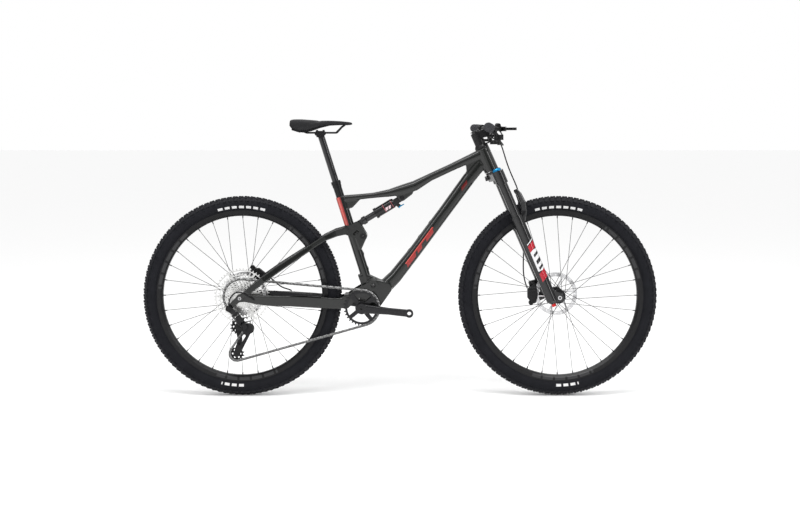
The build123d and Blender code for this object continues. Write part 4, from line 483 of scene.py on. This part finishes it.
def add_soften(piece, passes):
    soften = piece.modifiers.new("soften", "SMOOTH")
    soften.factor = 0.5
    soften.iterations = passes


def join_rings(build, rings, closed=True):
    """Faces from each ring to the next, and from the last back to the first."""
    following = rings[1:] + rings[:1] if closed else rings[1:]
    for here, after in zip(rings, following):
        for k in range(len(here)):
            m = (k + 1) % len(here)
            build.faces.new((here[k], here[m], after[m], after[k]))


# ---------------------------------------------------------------- tyres


CASING_RADIUS = 0.3385
CASING_HALF = 0.0270
CASING_RISE = 0.0262
CASING_WALL = 0.0018
CASING_RINGS = 180
KNOB_PITCHES = 104
KNOB_SINK = 0.0008


def casing_point(phi, inset=0.0):
    return ((CASING_HALF - inset) * math.sin(phi), CASING_RADIUS + (CASING_RISE - inset) * math.cos(phi))


def add_casing(build):
    """The carcass, open at its beads."""
    outer = [casing_point(math.radians(a)) for a in range(-124, 125, 8)]
    inner = [casing_point(math.radians(a), CASING_WALL) for a in range(120, -121, -12)]
    section = [(-0.0152, 0.3172)] + outer + [(0.0152, 0.3172), (0.0128, 0.3164)] + inner + [(-0.0128, 0.3164)]
    rings = []
    for turn in range(CASING_RINGS):
        a = 2 * math.pi * turn / CASING_RINGS
        rings.append([
            build.verts.new((r * math.cos(a), y, r * math.sin(a))) for y, r in section
        ])
    join_rings(build, rings)


def add_knob(build, around, phi, length, width, height, skew=0.0):
    """One tread block: a tapered box standing on the casing."""
    y, r = casing_point(phi)
    lean = math.atan2(math.sin(phi) / CASING_HALF, math.cos(phi) / CASING_RISE)
    out = Vector((math.cos(lean) * math.cos(around), math.sin(lean), math.cos(lean) * math.sin(around)))
    run = Vector((-math.sin(around), 0, math.cos(around)))
    side = out.cross(run)
    foot = Vector((r * math.cos(around), y, r * math.sin(around))) - out * KNOB_SINK
    layers = []
    for up, scale in ((0, 1.12), (0.72, 0.98), (1, 0.82)):
        ring = []
        for u, v in ((-1, -1), (1, -1), (1, 1), (-1, 1)):
            ring.append(build.verts.new(
                foot + out * (height + KNOB_SINK) * up + run * (u * length + v * skew) * scale / 2
                + side * v * width * scale / 2
            ))
        layers.append(ring)
    build.faces.new(layers[0][::-1])
    build.faces.new(layers[-1])
    join_rings(build, layers, closed=False)


def tyre_mesh(name):
    """A casing with two centre rows, two middle rows, edge knobs and small side lugs."""
    build = bmesh.new()
    add_casing(build)
    step = 2 * math.pi / KNOB_PITCHES
    for n in range(KNOB_PITCHES):
        a = n * step
        wide = 1.15 if n % 2 else 0.9
        for hand in (-1, 1):
            shift = 0.5 * step if hand > 0 else 0.0
            add_knob(build, a + shift, hand * 0.19, 0.0085, 0.0062 * wide, 0.0040, hand * 0.0014)
            add_knob(build, a + shift + 0.42 * step, hand * 0.56, 0.0072, 0.0060, 0.0036, -hand * 0.0012)
            add_knob(build, a + shift + 0.1 * step, hand * 0.98, 0.0105 * wide, 0.0078, 0.0036)
            if n % 2:
                add_knob(build, a + shift, hand * 1.34, 0.0085, 0.0046, 0.0014)
    mesh = mesh_from(build, name)
    smooth_by_angle(mesh, 32)
    return mesh


def make_tyres():
    for end, axle in (("front", FRONT_AXLE_X), ("rear", REAR_AXLE_X)):
        mesh = tyre_mesh(f"{end}_tread")
        mesh.transform(Matrix.Translation((axle, 0, AXLE_HEIGHT)))
        tyre = new_piece(f"{end}_knobbly_tyre", mesh, "tyre_rubber", f"{end}_wheel")
        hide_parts(f"{end}_tyre")


# ---------------------------------------------------------------- grips


BAR_BEND = Vector((0.333, 0.112, 0.986))
BAR_TIP = Vector((0.299, 0.379, 0.990))
GRIP_LENGTH = 0.1335
GRIP_RIBS = 26
RIB_PITCH = 0.0044
GRIP_SIDES = 40


def grip_profile():
    """Distance back from the bar's tip and radius, round the grip's closed section."""
    profile = [
        (0.0030, 0.0008), (0.0016, 0.0008), (0.0006, 0.0070), (0.0, 0.0110), (0.0, 0.0150),
        (0.001, 0.0163), (0.005, 0.0165), (0.007, 0.0156),
    ]
    for k in range(GRIP_RIBS):
        start = 0.009 + k * RIB_PITCH
        swell = 0.0006 * math.sin(math.pi * k / (GRIP_RIBS - 1))
        profile += [
            (start, 0.0146 + swell), (start + 0.0010, 0.0158 + swell),
            (start + 0.0028, 0.0158 + swell), (start + 0.0036, 0.0146 + swell),
        ]
    return profile + [
        (0.1245, 0.0150), (0.1255, 0.0160), (0.1325, 0.0160), (GRIP_LENGTH, 0.0154),
        (GRIP_LENGTH, 0.0118), (0.0030, 0.0118),
    ]


def add_grip(build, tip, axis):
    across = axis.cross(Vector((0, 0, 1))).normalized()
    up = across.cross(axis).normalized()
    rings = []
    for back, radius in grip_profile():
        centre = tip - axis * back
        rings.append([
            build.verts.new(
                centre + across * radius * math.cos(2 * math.pi * s / GRIP_SIDES)
                + up * radius * math.sin(2 * math.pi * s / GRIP_SIDES)
            )
            for s in range(GRIP_SIDES)
        ])
    join_rings(build, rings)


def make_grips():
    line = (BAR_TIP - BAR_BEND).normalized()
    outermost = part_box("grips")[1].y - 0.002
    build = bmesh.new()
    for hand in (1, -1):
        tip = Vector((BAR_TIP.x, outermost * hand, BAR_TIP.z))
        add_grip(build, tip, Vector((line.x, line.y * hand, line.z)))
    mesh = mesh_from(build, "ribbed_grips")
    smooth_by_angle(mesh, 50)
    grips = new_piece("ribbed_grips", mesh, "grip_rubber", "cockpit")
    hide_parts("grips")


# ---------------------------------------------------------------- hoses


HOSE_RADIUS = 0.0025
PORT_RISE = 0.057


def steer_port(left, forward):
    """A place beside the steerer at the height of the hose ports."""
    x, z = STEER_AXIS_POINT
    back, up = math.cos(HEAD_ANGLE), math.sin(HEAD_ANGLE)
    return (x - back * PORT_RISE + up * forward, left, z + up * PORT_RISE + back * forward)


def hose_mesh(name, points):
    line = bpy.data.curves.new(name, "CURVE")
    line.dimensions = "3D"
    line.bevel_depth = HOSE_RADIUS
    line.bevel_resolution = 4
    line.use_fill_caps = True
    spline = line.splines.new("NURBS")
    spline.points.add(len(points) - 1)
    for spot, point in zip(spline.points, points):
        spot.co = (*point, 1)
    spline.order_u = 4
    spline.use_endpoint_u = True
    spline.resolution_u = 16
    holder = place(name, line)
    bpy.context.view_layer.update()
    made = bpy.data.meshes.new_from_object(holder.evaluated_get(bpy.context.evaluated_depsgraph_get()))
    bpy.data.objects.remove(holder)
    bpy.data.curves.remove(line)
    smooth_by_angle(made, 60)
    return made


def make_hoses():
    """Hoses that run between their two ends; the front and rear brake lines ride on no body."""
    cockpit = {
        "rear_brake_line": [
            (0.3489, -0.1654, 0.987), (0.350, -0.146, 0.986), (0.374, -0.100, 0.966), (0.376, -0.048, 0.948),
            steer_port(-0.009, 0.055), steer_port(-0.009, 0.0229),
        ],
        "shift_housing": [
            (0.346, -0.1573, 0.9555), (0.347, -0.140, 0.955), (0.374, -0.100, 0.930), (0.382, -0.044, 0.921),
            steer_port(0.0, 0.058), steer_port(0.0, 0.0242),
        ],
        "dropper_housing": [
            (0.346, 0.1626, 0.9555), (0.347, 0.146, 0.955), (0.372, 0.104, 0.944), (0.378, 0.046, 0.934),
            steer_port(0.009, 0.056), steer_port(0.009, 0.0229),
        ],
    }
    for name, points in cockpit.items():
        hose = new_piece(name, hose_mesh(name, points), "hose_black", "cockpit")
        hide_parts("cockpit_hoses")
    front = [
        (0.3489, 0.1654, 0.987), (0.350, 0.148, 0.986), (0.386, 0.142, 0.940), (0.400, 0.130, 0.882),
        (0.420, 0.112, 0.819), (0.446, 0.098, 0.765), (0.461, 0.092, 0.700), (0.470, 0.090, 0.527),
        (0.465, 0.084, 0.466), (0.466, 0.058, 0.418), (0.477, 0.0395, 0.3888),
    ]
    hose = new_piece("front_brake_line", hose_mesh("front_brake_line", front), "hose_black")
    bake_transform(hose)
    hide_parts("front_hose")
    rear = [
        (-0.503, 0.057, 0.4336), (-0.482, 0.057, 0.424), (-0.447, 0.057, 0.384), (-0.424, 0.057, 0.386),
        (-0.4076, 0.0562, 0.3775),
    ]
    hose = new_piece("rear_brake_line_end", hose_mesh("rear_brake_line_end", rear), "hose_black")
    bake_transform(hose)
    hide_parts("rear_hose")
    loop = [
        (-0.5306, -0.0822, 0.3629), (-0.553, -0.091, 0.378), (-0.578, -0.0915, 0.397),
        (-0.608, -0.0915, 0.389), (-0.622, -0.091, 0.364), (-0.622, -0.090, 0.3433),
    ]
    hose = new_piece("shift_loop", hose_mesh("shift_loop", loop), "hose_black", "swingarm")
    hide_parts("derailleur_housing")


# ---------------------------------------------------------------- chain


def make_chain():
    """The chain around the chainring and the sprockets, as one welded piece on no body."""
    mesh = welded_copy("chain", "roller_chain")
    smooth_by_angle(mesh, 35)
    chain = new_piece("roller_chain", mesh, "chain_steel")
    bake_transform(chain)
    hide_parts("chain")


# ---------------------------------------------------------------- saddle


SADDLE_VOXEL = 0.004
START_LENGTH = 0.985
START_WIDTH = 0.97
START_HEIGHT = 0.95
GLUED_SHARE = 0.30
COVER_PRESSURE = 4
COVER_FRAMES = 20
COVER_SWELL_CAP = 0.004


def swell_cover(pad, low, high):
    """Blows the cover out a little, with its lower edge glued to the shell."""
    before = [v.co.copy() for v in pad.data.vertices]
    glue_line = low.z + GLUED_SHARE * (high.z - low.z)
    held = pad.vertex_groups.new(name="glued_edge")
    held.add([v.index for v in pad.data.vertices if v.co.z < glue_line], 1.0, "REPLACE")
    cloth = pad.modifiers.new("cover", "CLOTH")
    cloth.settings.quality = 4
    cloth.settings.use_pressure = True
    cloth.settings.uniform_pressure_force = COVER_PRESSURE
    cloth.settings.effector_weights.gravity = 0
    cloth.settings.vertex_group_mass = "glued_edge"
    scene = bpy.context.scene
    for now in range(1, COVER_FRAMES + 1):
        scene.frame_set(now)
    settle(pad)
    scene.frame_set(1)
    for v, start in zip(pad.data.vertices, before):
        move = v.co - start
        if move.length > COVER_SWELL_CAP:
            v.co = start + move.normalized() * COVER_SWELL_CAP


def make_saddle():
    mesh = welded_copy("saddle_pad", "saddle_cushion")
    pad = place("saddle_cushion", mesh)
    centre = sum((v.co for v in mesh.vertices), Vector()) / len(mesh.vertices)
    low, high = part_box("saddle_pad")
    for v in mesh.vertices:
        v.co.x = centre.x + (v.co.x - centre.x) * START_LENGTH
        v.co.y = v.co.y * START_WIDTH
        v.co.z = low.z + (v.co.z - low.z) * START_HEIGHT
    add_remesh(pad, SADDLE_VOXEL)
    bpy.context.view_layer.update()
    settle(pad)
    swell_cover(pad, low, high)
    add_soften(pad, 6)
    round_off = pad.modifiers.new("round", "SUBSURF")
    round_off.levels = 1
    round_off.render_levels = 1
    bpy.context.view_layer.update()
    settle(pad)
    for v in pad.data.vertices:
        v.co.z = min(v.co.z, high.z + COVER_SWELL_CAP)
    pad.data.shade_smooth()
    dress(pad, "saddle_cover", "dropper")
    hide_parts("saddle_pad")


# ---------------------------------------------------------------- moulded frame


FRAME_VOXEL = 0.0022
FAIRING_PASSES = 6


def make_moulded_frame():
    """The front frame laid up in one piece, its joints faired into each other."""
    part = place("moulded_frame", welded_copy("front_frame", "moulded_frame"))
    add_remesh(part, FRAME_VOXEL)
    add_soften(part, FAIRING_PASSES)
    bpy.context.view_layer.update()
    settle(part)
    part.data.shade_smooth()
    dress(part, "frame_carbon", "frame")
    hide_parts("front_frame")


# ---------------------------------------------------------------- studio


FLOOR_REACH = 60
FLOOR_DROP = 0.0005
SOFT_BOXES = (
    ("top_box", (0.0, -1.1, 3.2), (0, 0, 0.5), (3.6, 0.6), 52),
    ("side_box", (-2.6, -2.4, 2.0), (0, 0, 0.6), (0.4, 2.4), 22),
    ("front_box", (2.8, -1.8, 1.8), (0.2, 0, 0.6), (0.4, 2.4), 22),
)
SENSOR_WIDTH = 36.0
LENS_LENGTH = 50.8905
LENS_SHIFT = (-0.0025, -0.156)
CAMERA_PLACE = (0.0072, -4.2, 0.970)


def studio_floor():
    build = bmesh.new()
    bmesh.ops.create_grid(build, x_segments=2, y_segments=2, size=FLOOR_REACH)
    floor = place("studio_floor", mesh_from(build, "studio_floor"))
    floor.location.z = -FLOOR_DROP
    f = Finish("studio_floor")
    paper = f.blend(f.grain(3.0), (0.94, 0.94, 0.94), (0.955, 0.955, 0.955))
    floor.data.materials.append(
        f.surface(
            Base_Color=paper, Roughness=0.9, Specular_IOR_Level=0.0, Emission_Color=(1.0, 1.0, 1.0),
            Emission_Strength=0.06,
        )
    )


def soft_box(name, at, look, size, power):
    light = bpy.data.lights.new(name, "AREA")
    light.shape = "RECTANGLE"
    light.size, light.size_y = size
    light.energy = power
    holder = place(name, light)
    holder.location = at
    holder.rotation_mode = "QUATERNION"
    holder.rotation_quaternion = (Vector(look) - Vector(at)).to_track_quat("-Z", "Y")


def studio_light():
    """A room with a bright ceiling and dimmer walls that the camera sees as white, and soft boxes."""
    world = bpy.data.worlds.new("studio")
    world.use_nodes = True
    tree = world.node_tree
    back = tree.nodes["Background"]
    back.inputs["Color"].default_value = (1, 1, 1, 1)
    room = NodeMaker(tree)
    up = room.node("SeparateXYZ", {}, {"Vector": room.node("TexCoord", {}, {}, "Generated")}, "Z")
    ceiling = room.node(
        "MapRange", {"interpolation_type": "SMOOTHSTEP"},
        {"Value": up, "From Min": 0.0, "From Max": 0.5, "To Min": 0.14, "To Max": 1.0},
    )
    seen = room.node("LightPath", {}, {}, "Is Camera Ray")
    level = room.maths("MAXIMUM", ceiling, seen)
    tree.links.new(level.socket, back.inputs["Strength"])
    bpy.context.scene.world = world
    for name, at, look, size, power in SOFT_BOXES:
        soft_box(name, at, look, size, power)


def studio_camera():
    lens = bpy.data.cameras.new("camera")
    lens.sensor_width = SENSOR_WIDTH
    lens.lens = LENS_LENGTH
    lens.shift_x, lens.shift_y = LENS_SHIFT
    camera = place("camera", lens)
    camera.location = CAMERA_PLACE
    camera.rotation_euler = (math.radians(90), 0, 0)
    bpy.context.scene.camera = camera


finish_cad_parts()
make_tyres()
make_grips()
make_hoses()
make_chain()
make_saddle()
make_moulded_frame()
studio_floor()
studio_light()
studio_camera()
bpy.context.scene.view_settings.view_transform = "Standard"

bpy.context.view_layer.update()
